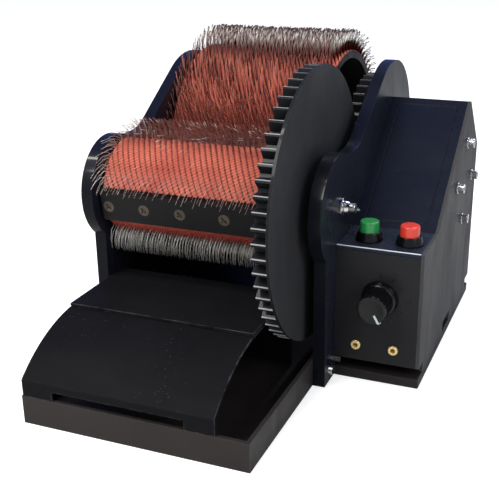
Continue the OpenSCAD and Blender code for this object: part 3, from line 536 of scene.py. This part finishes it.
soft_shade = bpy.data.node_groups.new("smooth_but_sharp_corners", "GeometryNodeTree")
for way in ("INPUT", "OUTPUT"):
    soft_shade.interface.new_socket("Geometry", in_out=way, socket_type="NodeSocketGeometry")
SHARP_ANGLE, ROUND_ANGLE, FLAT_ANGLE = (math.radians(angle) for angle in (38, 35, 0.2))
WELD_REACH = 0.005 * MM
shape_in = soft_shade.nodes.new("NodeGroupInput").outputs[0]
plain = node(soft_shade, "GeometryNodeRemoveAttribute", {"Geometry": shape_in, "Name": "custom_normal"})
all_smooth = node(soft_shade, "GeometryNodeSetShadeSmooth", {
    "Geometry": plain.outputs[0], "Shade Smooth": True})
bend = node(soft_shade, "GeometryNodeInputMeshEdgeAngle").outputs[0]
is_sharp = node(soft_shade, "FunctionNodeCompare", {0: bend, 1: SHARP_ANGLE}, operation="GREATER_THAN")
sharp_kept = node(soft_shade, "GeometryNodeSetShadeSmooth", {
    "Geometry": all_smooth.outputs[0], "Selection": is_sharp.outputs[0],
    "Shade Smooth": False}, domain="EDGE")
feed(soft_shade.nodes.new("NodeGroupOutput"), {0: sharp_kept.outputs[0]})


def modifier(piece, name, kind, **settings):
    """A modifier of that kind at the end of a piece's list."""
    made = piece.modifiers.new(name, kind)
    for key, value in settings.items():
        setattr(made, key, value)


def soften(piece, width):
    """Weld the loose triangles, round the sharp edges, and shade the rest smooth."""
    modifier(piece, "weld", "WELD", merge_threshold=WELD_REACH)
    if width:
        modifier(piece, "flat_faces", "DECIMATE", decimate_type="DISSOLVE", angle_limit=FLAT_ANGLE)
        modifier(piece, "rounded_edges", "BEVEL", width=width * MM, segments=2, limit_method="ANGLE",
                 angle_limit=ROUND_ANGLE, use_clamp_overlap=True)
    modifier(piece, "soft_shade", "NODES", node_group=soft_shade)
    if width:
        modifier(piece, "even_flats", "WEIGHTED_NORMAL", keep_sharp=True)


# The solid cloths are replaced further down, and take the pipes' finish until then.
finish["card_cloth"] = finish["drum_pipe"]
for slot_name, members in finish_of.items():
    for name in members.split():
        piece = nodes[name]
        piece.data.materials.clear()
        piece.data.materials.append(finish[slot_name])
        soften(piece, edge_round.get(name, 0))
print("parts with a finish:", sum(len(each.split()) for each in finish_of.values()), "of", len(nodes))

# %% [markdown]
# ## Card cloth
# Card cloth is a thick red rubber-faced fabric, stapled full of steel wires in slanting rows.
# Each wire leaves the cloth square, and leans on from a knee less than half way up, so that it combs.
# Hair particles could grow them, but the export needs real faces. The wires are therefore one numpy
# array: every wire is the same small tapered tube, bent along its own path and set on its own place.

# %% Sizes of the two drums
CLOTH, UNDER = 2.0 * MM, 0.05 * MM
BAR_WIDTH = 27 * MM
ROW, TWILL, HOLE_PITCH = 2.6 * MM, -1.25 * MM, 4.8 * MM
EDGE, BELOW = 1.6 * MM, 4.2 * MM
END_BAND, END_SPLAY = 9 * MM, 5 * MM
BAR_CLEAR = 2
# Angles run in degrees from the front over the top. bar is the clamp bar's, and rows start at above.
# Wires stray sideways, splay at the left end, and slant where bare. All wires are steel: the red on those
# that face the feed is a painted reflection of the cloth, with painted shade. From the first angle of
# shine
# to the second they go from red to bare, and end_shine turns the left end bare as a painted highlight:
# dark and bright give the steel at each station of both kinds, and a share below zero is painted shade.
# tone is a range of reds, glint the share of painted glints, first the painted highlight of steel in the
# rows over the bar, haze is 1 where wires cross in the nip, and lit gives angles with their painted light.
drums = {
    "licker": dict(
        body="licker_drum", wire=20.0 * MM, lean=-15.0, bar=-9.5,
        above=8.5 * MM, pitch=5.4 * MM, tall=(0.93, 1.0), thick=(0.42, 0.95), stray=0.7 * MM,
        splay=END_SPLAY, slant=-3.6 * MM, shine=(150, 190), end_shine=1.8, tone=(0.45, 1.0),
        glint=0.05, first=0.7, haze=1.0, lit=((-1, 0.15), (0, 1)),
        dark=(0.0, 0.0, 0.03, 0.16), bright=(0.7, 1.0, 0.9, 0.75)),
    "main": dict(
        body="carding_drum", wire=24.5 * MM, lean=4.0, bar=-180.0,
        above=1.2 * MM, pitch=4.2 * MM, tall=(0.76, 0.87), thick=(1.15, 2.5), stray=1.6 * MM,
        splay=0.0, slant=3.0 * MM, shine=(66, 86), end_shine=0.0, tone=(0.0, 1.0),
        glint=0.0, first=0.0, haze=0.0, lit=((14, 0.15), (34, 1), (75, 1), (97, 0)),
        dark=(0.0, 0.0, 0.02, 0.08), bright=(0.0, -0.1, 1.9, -0.55)),
}
for name, drum in drums.items():
    drum["middle"], drum["half"] = place_of(f"{name}_pipe")
    drum["pipe"] = drum["half"][2]
    gap = 2 * math.degrees(math.asin(BAR_WIDTH / 2 / drum["pipe"])) + BAR_CLEAR
    drum["start"], drum["turn"] = drum["bar"] + gap / 2, 360 - gap
    print(name, "cloth turns", round(drum["turn"], 1), "degrees")


# %% Cloth backing
def on_drum(drum, angle, radius, across):
    """Points at an angle from the front over the top, a radius from the axis and a place across the width:
    y is the axis less radius times cosine, z is the axis plus radius times sine."""
    turn = np.radians(angle)
    return np.stack(np.broadcast_arrays(
        across, drum["middle"][1] - radius * np.cos(turn), drum["middle"][2] + radius * np.sin(turn)), -1)


def bed_of_wires(drum):
    """How many rows of wires go round the cloth, the width that they fill and their pitch along a row."""
    length = math.radians(drum["turn"]) * (drum["pipe"] + CLOTH)
    width = 2 * (drum["half"][0] - EDGE)
    return int((length - BELOW - drum["above"]) / ROW), width, width / int(width / drum["pitch"])


def light_on(drum, angle):
    """How much painted light the cloth and the red of the wires get, in straight lines between the drum's
    angles and shares.
    """
    return np.interp(angle, *zip(*drum["lit"]))


STEPS, CLOTH_EDGE = 180, 0.5 * MM
BARE_ROWS, BARE_FADE = 6, 4


def backing(name, drum):
    """A band of cloth: a flat oblong profile, with slightly rounded edges, carried round the drum."""
    inner, outer, edge = drum["pipe"] + UNDER, drum["pipe"] + CLOTH, CLOTH_EDGE
    left, right = drum["middle"][0] - drum["half"][0], drum["middle"][0] + drum["half"][0]
    angle = np.linspace(drum["start"], drum["start"] + drum["turn"], STEPS)
    across = np.array([left + edge, left, left, left + edge, right - edge, right, right, right - edge])
    height = np.array([inner, inner + edge, outer - edge, outer, outer, outer - edge, inner + edge, inner])
    points, faces = closed_sweep(on_drum(drum, angle[:, None], height[None], across[None]))
    piece = mesh_piece(name, points, faces)
    angle = np.repeat(angle, len(across))
    angle = np.append(angle, [angle[0], angle[-1]])
    row = (np.radians(angle - drum["start"]) * outer - drum["above"]) / ROW
    rows, width, pitch = bed_of_wires(drum)
    column = (points[:, 0] - drum["middle"][0] + width / 2 - row * TWILL) / pitch
    point_value(piece, "lit", light_on(drum, angle))
    point_value(piece, "row", row)
    point_value(piece, "bed", np.clip((rows - BARE_ROWS - row) / BARE_FADE, 0, 1))
    point_value(piece, "column", column)
    print(name, "faces:", len(faces))
    return piece


# %% Places of the wires
# UP and BEND are shares of a wire's length and of its lean, at each of its stations.
UP, BEND = np.array([-0.05, 0.42, 0.72, 1.0]), np.array([0.0, 0.07, 0.46, 1.0])
WIRE_THICK = np.array([0.34, 0.33, 0.3, 0.25]) * MM
RINGS, SIDES = 4, 3
ANGLE_JITTER, LEAN_JITTER, SIDEWAYS_BEND = 0.1, 0.1, 1.5
HAZE, HAZE_FADE, HAZE_THICK = (62, 150), 15, 0.5
random = np.random.default_rng(11)


def place_wires(drum):
    """Where each wire stands: row i lies i row spaces round the cloth, and starts i steps further along.
    near_end is 1 at the left end of the drum, from_front 1 away from the feed, and haze 1 in the nip."""
    rows, width, pitch = bed_of_wires(drum)
    i, j = np.meshgrid(np.arange(rows), np.arange(round(width / pitch)), indexing="ij")
    round_drum = np.degrees((drum["above"] + i.ravel() * ROW) / (drum["pipe"] + CLOTH))
    angle = drum["start"] + round_drum + random.normal(0, ANGLE_JITTER, i.size)
    off = (j * pitch + i * TWILL).ravel() % width - width / 2
    low, high = drum["shine"]
    return dict(
        i=i, j=j, angle=angle, off=off, width=width,
        near_end=np.clip(1 - (width / 2 + off) / END_BAND, 0, 1),
        from_front=np.clip((np.abs(angle) - low) / (high - low), 0, 1),
        haze=drum["haze"] * np.clip((angle - HAZE[0]) / HAZE_FADE, 0, 1) * (angle < HAZE[1]))


def wire_points(drum, bed):
    """Points by wire, station and side. The stations give a wire's path, out along the radius and leaning
    more past the knee, and the points round each give its thickness."""
    near_end, from_front, off = bed["near_end"], bed["from_front"], bed["off"]
    outer, count = drum["pipe"] + CLOTH, len(off)
    lean = drum["lean"] * (1 + random.normal(0, LEAN_JITTER, count))
    tall = drum["wire"] * random.uniform(*drum["tall"], count)
    splay = random.normal(0, drum["stray"], count)
    splay = splay - near_end ** 2 * random.uniform(0.5, 1, count) * drum["splay"]
    slant = drum["slant"] * (1 - near_end) * np.maximum(from_front, drum["haze"])
    slant = slant * (1 + drum["haze"] * from_front * (0.5 - off / bed["width"]))
    thin, stout = drum["thick"]
    thick = thin + (stout - thin) * np.maximum(from_front, HAZE_THICK * bed["haze"])
    angle, lean, tall, off, sideways, thick = (
        value[:, None, None] for value in (bed["angle"], lean, tall, off, splay + slant, thick))
    path_angle = angle + lean * BEND[:, None]
    path_radius = outer + tall * UP[:, None]
    path_across = drum["middle"][0] + off + sideways * np.clip(UP, 0, 1)[:, None] ** SIDEWAYS_BEND
    spoke, thick = np.radians(90 + 120 * np.arange(SIDES)), thick * WIRE_THICK[:, None]
    turned_by = np.degrees(thick * np.sin(spoke) / outer)
    return on_drum(drum, path_angle + turned_by, path_radius, path_across + thick * np.cos(spoke))


# %% Shades of the wires
CROWDED, DEEPEST_SHADE, HAZE_SHADE = 16, 0.85, 0.5
FIRST_ROWS, FIRST_LEVEL, GLINT = 4, 1.2, 1.5
STREAK, STREAK_SHARE, GLEAM_BIAS = 7, 0.7, 0.38
HAZE_BARE = np.array([0.02, 0.1, 0.02, -0.12])


def wire_shades(drum, bed):
    """Numbers for the material: bare is how much steel shows at each station of a wire, tone how light
    its red is, and gleam how bright its steel is. Wires that face the feed are painted with a reflection
    of the red cloth and with painted shade, the others show bare steel, and a few points get painted
    glints."""
    i, j, angle, near_end, haze = (bed[key] for key in ("i", "j", "angle", "near_end", "haze"))
    count = i.size
    shine = np.maximum(bed["from_front"], np.clip(near_end * drum["end_shine"], 0, 1))[:, None]
    bare = np.array(drum["dark"]) * (1 - shine) + np.array(drum["bright"]) * shine
    # Painted highlight: the first rows over the bar show more steel and gleam brighter.
    first = np.clip(FIRST_LEVEL - i.ravel() / FIRST_ROWS, 0, 1)
    over_bar_highlight = drum["first"] * first * random.uniform(0.3, 1, count)
    bare[:, 1:] += over_bar_highlight[:, None]
    bare += haze[:, None] * HAZE_BARE
    # Painted glints: a few wire tips turn fully bare, and more of them in the nip.
    for chance in (drum["glint"] * (1 - haze), 2 * drum["glint"] * haze):
        bare[:, -1] = np.where(random.random(count) < chance, GLINT, bare[:, -1])
    # Painted shade: the red of the wires darkens towards the shine angle, in the nip and where the painted
    # light is low.
    crowd_shade = np.clip((angle - drum["shine"][0] + CROWDED) / CROWDED, 0, DEEPEST_SHADE)
    streak = random.random((i.shape[0] // STREAK + 1, i.shape[1]))[i // STREAK, j].ravel()
    least, most = drum["tone"]
    tone = least + (most - least) * (STREAK_SHARE * streak + (1 - STREAK_SHARE) * random.random(count))
    tone = tone * (1 - np.maximum(crowd_shade, HAZE_SHADE * haze)) * light_on(drum, angle)
    # gleam is random, and raised as a painted highlight at the left end and over the bar.
    gleam = np.maximum(random.random(count) ** GLEAM_BIAS, np.maximum(near_end, over_bar_highlight))
    return bare, tone, gleam


# %% Wires
def wires(name, drum):
    """All the wires of a drum as one mesh. Each is a closed tube: its stations are joined side by side
    with two three-sided faces for each side, and one face covers each end."""
    bed = place_wires(drum)
    points = wire_points(drum, bed).reshape(-1, 3)
    k = np.arange(SIDES)
    n = (k + 1) % SIDES
    last, per_wire = SIDES * (RINGS - 1), RINGS * SIDES
    tube = [np.stack(corner, 1) for b in range(0, last, SIDES)
            for corner in ((b + k, b + n, b + SIDES + n), (b + k, b + SIDES + n, b + SIDES + k))]
    one = np.concatenate([*tube, [[0, 2, 1], [last, last + 1, last + 2]]])
    first = per_wire * np.arange(len(points) // per_wire)
    faces = outward(points, (one[None] + first[:, None, None]).reshape(-1, 3))
    piece = mesh_piece(name, points, faces)
    bare, tone, gleam = wire_shades(drum, bed)
    point_value(piece, "bare", np.repeat(bare, SIDES, axis=1).ravel())
    point_value(piece, "tone", np.repeat(tone, per_wire))
    point_value(piece, "gleam", np.repeat(gleam, per_wire))
    print(name, "wires:", len(first), "faces:", len(faces))
    return piece


# %% [markdown]
# ### Finish of the cloth
# The rubber face is coral red, and each wire comes through it in a small hole, darkened with painted
# shade round the wire's foot. Thin dark lines along the rows and across them are painted shadows of the
# wires.
# The holes follow the same slanting rows as the wires, so the material works out the same sums:
# how far round the drum, which row that is, and how far along the row the next hole lies.
# The wires are painted with a reflection of the red cloth near their feet, show bare steel higher up,
# and get painted shade, near black, where the steel's share falls below zero.

# %% Rows of holes and painted shadows
HOLE_EDGE, ROW_SHADOW, CROSS_SHADOW = (0.0011, 0.0005), (0.19, 0.06), (0.17, 0.05)
holes, h_in, h_out = new_group(
    "wire_holes_and_row_shadows", {"Row": 0.0, "Column": 0.0}, ["Hole", "Row Shadow", "Cross Shadow"])
off_row, off_column = from_whole(holes, h_in["Row"]), from_whole(holes, h_in["Column"])
off_cross = from_whole(holes, calc(holes, "SUBTRACT", h_in["Column"], h_in["Row"]))
sideways = calc(holes, "ADD", product(holes, off_column, HOLE_PITCH), product(holes, off_row, TWILL))
away = node(holes, "CombineXYZ", {0: sideways, 1: product(holes, off_row, ROW)}).outputs[0]
reach = node(holes, "VectorMath", {0: away}, operation="LENGTH").outputs["Value"]
feed(h_out, {
    "Hole": ramp(holes, reach, *HOLE_EDGE),
    "Row Shadow": ramp(holes, calc(holes, "ABSOLUTE", off_column), *ROW_SHADOW),
    "Cross Shadow": ramp(holes, calc(holes, "ABSOLUTE", off_cross), *CROSS_SHADOW)})
print("group:", holes.name)

# %% Cloth material
cloth_finish, tree, shader, where = bare_material("coral_card_cloth", {"Specular IOR Level": 0.3})
in_bed = attribute(tree, "bed")
set_rows = effect(tree, holes, {"Row": attribute(tree, "row"), "Column": attribute(tree, "column")})
rubber = effect(tree, grain, {"Vector": where, "Grain Scale": 1500.0, "Cloud Scale": 26.0})
coral = blend(tree, rubber["Cloud"], (0.94, 0.24, 0.15), (0.56, 0.1, 0.068))
# Painted shadows of the wires along the rows and across them, and painted shade in each hole.
for mark, cover, colour in (
        ("Row Shadow", 0.78, (0.2, 0.025, 0.02)), ("Cross Shadow", 0.7, (0.24, 0.03, 0.022)),
        ("Hole", 0.85, (0.1, 0.016, 0.012))):
    coral = blend(tree, product(tree, set_rows[mark], cover, in_bed), coral, colour)
coral = blend(tree, in_bed, (0.5, 0.075, 0.05), coral)
# Painted shade: the cloth goes deep red where its share of painted light is low.
coral = blend(tree, attribute(tree, "lit"), (0.1, 0.02, 0.016), coral)
feed(shader, {"Base Color": coral, "Roughness": ramp(tree, rubber["Cloud"], 0.0, 1.0, 0.62, 0.8)})
sunk = calc(tree, "SUBTRACT", product(tree, rubber["Height"], 0.3), set_rows["Hole"])
bump(tree, shader, sunk, 0.6, 0.0004)
print("finish:", cloth_finish.name)

# %% Wire material
wire_finish, tree, shader, _ = bare_material("bent_steel_wire", {"Specular IOR Level": 0.2})
bare_value, light_red = attribute(tree, "bare"), ramp(tree, attribute(tree, "tone"), 0.3, 0.8)
steel = blend(tree, attribute(tree, "gleam"), (0.24, 0.222, 0.2), (1.0, 0.985, 0.92))
# The red is a painted reflection of the cloth, darker where the tone holds painted shade.
cloth_reflection = blend(tree, light_red, (0.11, 0.017, 0.012), (0.66, 0.19, 0.13))
along_wire = blend(tree, bare_value, cloth_reflection, steel)
# Painted shade: the wire goes near black where the steel's share is below zero.
wire_painted_shade = ramp(tree, bare_value, 0.0, -0.25)
along_wire = blend(tree, wire_painted_shade, along_wire, (0.02, 0.018, 0.015))
feed(shader, {
    "Base Color": along_wire, "Roughness": ramp(tree, bare_value, 0.0, 1.0, 0.5, 0.3),
    "Metallic": ramp(tree, bare_value, 0.1, 0.6, 0.0, 0.3)})
print("finish:", wire_finish.name)

# %% Dressed drums
for name, drum in drums.items():
    band, bed = backing(f"{name}_backing", drum), wires(f"{name}_wires", drum)
    band.data.materials.append(cloth_finish)
    bed.data.materials.append(wire_finish)
    for piece in (band, bed):
        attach(piece, drum["body"])
    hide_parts(f"{name}_cloth")

# %% [markdown]
# ## Speed knob
# The knob is a moulded cap with a skirt, a fluted grip and a shallow dish in its face, pushed on a shaft.
# A lathe gives all but the flutes, and they could be cut out one by one. It is easier to let the radius
# of each ring rise and fall as it goes round. The pale pointer is a thin strip carried along
# the same profile.

# %% Speed knob
# Each row is a radius, a height from the panel and the share of the flutes' depth there.
KNOB = np.array([
    (3.0, -13.0, 0), (3.0, 5.0, 0), (8.6, 5.0, 0), (8.6, 1.0, 0), (15.8, 1.0, 0), (16.0, 1.2, 0),
    (16.0, 2.8, 0), (15.7, 3.6, 0), (14.7, 5.6, 0), (13.6, 6.1, 0), (13.25, 6.5, 0.2), (13.2, 7.2, 1),
    (13.0, 15.0, 1), (12.8, 25.2, 1), (12.65, 26.3, 0.7), (12.1, 27.2, 0.2), (11.4, 27.4, 0),
    (9.6, 27.1, 0)])
KNOB_AROUND, FLUTES, FLUTE_DEPTH = 192, 24, 0.4
panel_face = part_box("front_panel")[0][1]
knob_middle, _ = place_of("speed_knob")
knob_place = np.array([knob_middle[0], panel_face, knob_middle[2]])
wave = 0.5 - 0.5 * np.cos(FLUTES * np.linspace(0, 2 * np.pi, KNOB_AROUND, endpoint=False))
knob_radius = KNOB[:, :1] - FLUTE_DEPTH * KNOB[:, 2:] * wave
points, faces = closed_sweep(turned_rings(
    knob_radius * MM, KNOB[:, 1] * MM, knob_place, (0, -1, 0), (1, 0, 0), KNOB_AROUND))
knob = mesh_piece("fluted_knob", points, faces)
soften(knob, 0)
print("knob faces:", len(faces))

# %% Pointer on the knob
# Each row is a radius and a height on the knob, and the two parts of the direction that faces out there.
POINTER = np.array([
    (4.6, 27.1, 0, 1), (9.6, 27.1, 0, 1), (11.4, 27.4, 0, 1), (12.2, 27.2, 0.7, 0.7),
    (13.4, 25.6, 1, 0), (13.8, 7.4, 1, 0)])
POINTER_HALF, POINTER_UNDER, POINTER_OVER = 0.95, 0.8, 0.15
radial, axial = np.array([0.5, 0.0, -0.866]), np.array([0.0, -1.0, 0.0])
sideways_on_knob = np.cross(axial, radial)
line = POINTER[:, :1] * radial + POINTER[:, 1:2] * axial
out = POINTER[:, 2:3] * radial + POINTER[:, 3:] * axial
corner = np.array([(-1, -POINTER_UNDER), (1, -POINTER_UNDER), (1, POINTER_OVER), (-1, POINTER_OVER)])
rings = line[:, None] + corner[:, :1] * POINTER_HALF * sideways_on_knob + corner[:, 1:] * out[:, None]
points, faces = closed_sweep(knob_place + rings * MM)
pointer = mesh_piece("pale_pointer", points, faces, smooth=False)
for piece, node_name, slot_name in (
        (knob, "speed_knob", "black_gloss"), (pointer, "knob_pointer", "white_mark")):
    piece.data.materials.append(finish[slot_name])
    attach(piece, "knob")
    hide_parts(node_name)
print("pointer faces:", len(faces))

# %% [markdown]
# ## Wing nuts
# A wing nut is cast: a conical hub with a bore, and two rounded ears that flare away from the plate.
# Cut plates would look stamped. Each ear is instead an oval carried along a line, and the oval
# shrinks to a round end.

# %% Wing nuts
# The hub's rows are a radius and a height from the washer, the ear's are the two halves of its oval.
HUB = np.array([
    (4.06, 0.3), (4.3, 0.0), (5.5, 0.0), (5.7, 0.4), (5.5, 2.0), (4.9, 4.6), (4.7, 4.9), (4.3, 4.9),
    (4.06, 4.6)])
EAR = np.array([
    (2.6, 1.7), (2.5, 1.6), (2.6, 1.5), (2.9, 1.5), (2.9, 1.5), (2.5, 1.3), (1.7, 0.9), (0.5, 0.3)])
EAR_AROUND = 20
EAR_ALONG = np.array([0.0, 0.2, 0.45, 0.7, 0.95, 1.12, 1.25, 1.31])
EAR_ROOT, EAR_TIP = np.array([4.9, 3.0]), np.array([11.8, 8.8])
EAR_WAY = np.array([0.0, 0.906, -0.423])


def wing_nut(name, node_name, side):
    """Hub: a closed profile turned about the axle. Ear: at each step along the line from root to tip,
    an oval whose long half lies across that line and whose short half lies across the ear."""
    middle, half = place_of(node_name)
    along = np.array([side, 0.0, 0.0])
    place = middle - half * along
    rings = turned_rings(HUB[:, 0] * MM, HUB[:, 1] * MM, place, along, (0, 1, 0))
    around = grid_faces(*rings.shape[:2], close_rows=True, close_columns=True)
    hub = rings.reshape(-1, 3)
    shapes = [(hub, outward(hub, np.concatenate([around[:, [0, 1, 2]], around[:, [0, 2, 3]]])))]
    turn = np.linspace(0, 2 * np.pi, EAR_AROUND, endpoint=False)[None, :, None]
    reach = EAR_TIP - EAR_ROOT
    cross = np.array([-reach[1], reach[0]]) / np.hypot(*reach)
    for way in (EAR_WAY, -EAR_WAY):
        middle_line = EAR_ROOT + EAR_ALONG[:, None] * reach
        spine = middle_line[:, :1] * way + middle_line[:, 1:] * along
        wide, thick = cross[0] * way + cross[1] * along, np.cross(way, along)
        wide, thick = EAR[:, :1, None] * wide, EAR[:, 1:, None] * thick
        ovals = spine[:, None] + wide * np.cos(turn) + thick * np.sin(turn)
        shapes.append(closed_sweep(place + ovals * MM))
    points, faces = joined(shapes)
    piece = mesh_piece(name, points, faces)
    soften(piece, 0)
    piece.data.materials.append(finish["bright_hardware"])
    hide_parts(node_name)
    print(name, "faces:", len(faces))
    return piece


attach(wing_nut("cast_nut_left", "wing_nut_left", -1), "left_nut")
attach(wing_nut("cast_nut_right", "wing_nut_right", 1), "right_nut")

# %% [markdown]
# ## Raised marks
# The panel is moulded with a plain scale round the knob and a sign over each socket.
# Letters are outlines with holes, so the built-in font draws them. Each is made a thick mesh
# and stood up against the panel.

# %% Raised marks
MARK_DEPTH, MARK_RISE = 0.25 * MM, 0.1 * MM
FIGURE_SIZE, SIGN_SIZE, SCALE_REACH, SIGN_RISE = 4.6, 7.0, 26.5, 14 * MM
marks = []
for text, angle in (("2", -90), ("4", -30), ("6", 30), ("8", 90)):
    turn = math.radians(angle)
    marks.append((text, FIGURE_SIZE, SCALE_REACH * math.sin(turn), SCALE_REACH * math.cos(turn)))
socket_middle, socket_half = place_of("power_sockets")
over_sockets = socket_middle[2] + SIGN_RISE - knob_place[2]
for text, side in (("-", -1), ("+", 1)):
    across = socket_middle[0] + side * (socket_half[0] - socket_half[2]) - knob_place[0]
    marks.append((text, SIGN_SIZE, across / MM, over_sockets / MM))
for number, (text, size, right, up) in enumerate(marks):
    name = f"panel_mark_{number}"
    letter = bpy.data.curves.new(name, "FONT")
    letter.body, letter.size, letter.extrude = text, size * MM, MARK_DEPTH
    letter.align_x = letter.align_y = "CENTER"
    maker = bpy.data.objects.new(name, letter)
    mesh = bpy.data.meshes.new_from_object(maker)
    bpy.data.objects.remove(maker)
    place = knob_place + np.array([right * MM, -MARK_RISE, up * MM])
    mesh.transform(Matrix.Translation(place) @ Matrix.Rotation(math.radians(90), 4, "X"))
    piece = bpy.data.objects.new(name, mesh)
    scene.collection.objects.link(piece)
    mesh.materials.append(finish["grey_mark"])
    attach(piece, "frame")
    print(name, repr(text), "faces:", len(mesh.polygons))

# %% [markdown]
# ## Stage and light
# The machine stands on a white floor. The floor and the air are white only to rays that come straight
# from the camera, so the lamps stay low enough for colours to look as written, and black stays black.
# A curved dark blue card behind and above, seen in reflections alone, keeps the black tops deep.

# %% Stage and light
air = bpy.data.worlds.new("studio_air")
air.use_nodes = True
scene.world = air
tree = air.node_tree
tree.nodes.clear()
white_air = node(tree, "Background", {"Color": (1, 1, 1)})
soft_air = node(tree, "Background", {"Color": (0.88, 0.93, 1.0), "Strength": 0.46})
seen = node(tree, "LightPath").outputs["Is Camera Ray"]
air_mix = node(tree, "MixShader", {0: seen, 1: soft_air.outputs[0], 2: white_air.outputs[0]})
node(tree, "OutputWorld", {"Surface": air_mix.outputs[0]})

FLOOR_REACH, FLOOR_LINES, FLOOR_DROP = 9.0, 9, 0.0004
lines = np.linspace(-FLOOR_REACH, FLOOR_REACH, FLOOR_LINES)
flat = np.stack(np.broadcast_arrays(*np.meshgrid(lines, lines), -FLOOR_DROP), -1)
floor = mesh_piece("studio_floor", flat, grid_faces(FLOOR_LINES, FLOOR_LINES)[:, ::-1])
floor_finish, tree, matt, _ = bare_material("white_floor", {
    "Base Color": (0.8, 0.8, 0.8), "Roughness": 0.9, "Specular IOR Level": 0.0})
glow = node(tree, "Emission", {"Color": (1, 1, 1), "Strength": 0.62})
both = node(tree, "AddShader", {0: matt.outputs[0], 1: glow.outputs[0]})
seen = node(tree, "LightPath").outputs["Is Camera Ray"]
floor_mix = node(tree, "MixShader", {0: seen, 1: matt.outputs[0], 2: both.outputs[0]})
feed(tree.nodes["Material Output"], {"Surface": floor_mix.outputs[0]})
floor.data.materials.append(floor_finish)

CARD_REACH, CARD_BACK, CARD_HALF, CARD_RISE = 2.6, 0.1, 3.2, (4, 128)
CARD_ROWS, CARD_COLUMNS = 28, 9
rise = np.radians(np.linspace(*CARD_RISE, CARD_ROWS))[:, None]
span = np.linspace(-CARD_HALF, CARD_HALF, CARD_COLUMNS)[None]
card_points = np.stack(np.broadcast_arrays(
    span, CARD_BACK + CARD_REACH * np.cos(rise), CARD_REACH * np.sin(rise)), -1)
card = mesh_piece("blue_card", card_points, grid_faces(CARD_ROWS, CARD_COLUMNS))
card_finish, tree, _, _ = bare_material("dark_blue_card", {})
card_glow = node(tree, "Emission", {"Color": (0.07, 0.095, 0.3)})
feed(tree.nodes["Material Output"], {"Surface": card_glow.outputs[0]})
card.data.materials.append(card_finish)
card.visible_camera = card.visible_diffuse = card.visible_shadow = card.visible_transmission = False


def lamp(name, place, aim, size, power, colour):
    """A soft lamp of that width and depth, which looks from its place at a point."""
    data = bpy.data.lights.new(name, "AREA")
    data.shape, data.size, data.size_y, data.energy, data.color = "RECTANGLE", *size, power, colour
    made = bpy.data.objects.new(name, data)
    back = np.array(place) - np.array(aim)
    turn = Vector(back).to_track_quat("Z", "Y").to_matrix().to_4x4()
    made.matrix_world = Matrix.Translation(place) @ turn
    scene.collection.objects.link(made)


lamp("key_lamp", (-0.55, -1.1, 1.55), (0.02, 0.08, 0.14), (0.9, 0.9), 18, (1.0, 0.97, 0.93))
lamp("side_lamp", (1.5, -0.6, 1.1), (0.05, 0.1, 0.12), (0.8, 0.8), 9, (0.95, 0.97, 1.0))
lamp("rear_lamp", (0.3, 1.3, 1.5), (0.0, 0.1, 0.15), (0.7, 0.7), 10, (0.92, 0.96, 1.0))
lamp("strip_lamp", (-0.7, -0.44, 1.62), (-0.7, 0.0, 0.19), (1.6, 0.14), 11, (1.0, 0.96, 0.88))
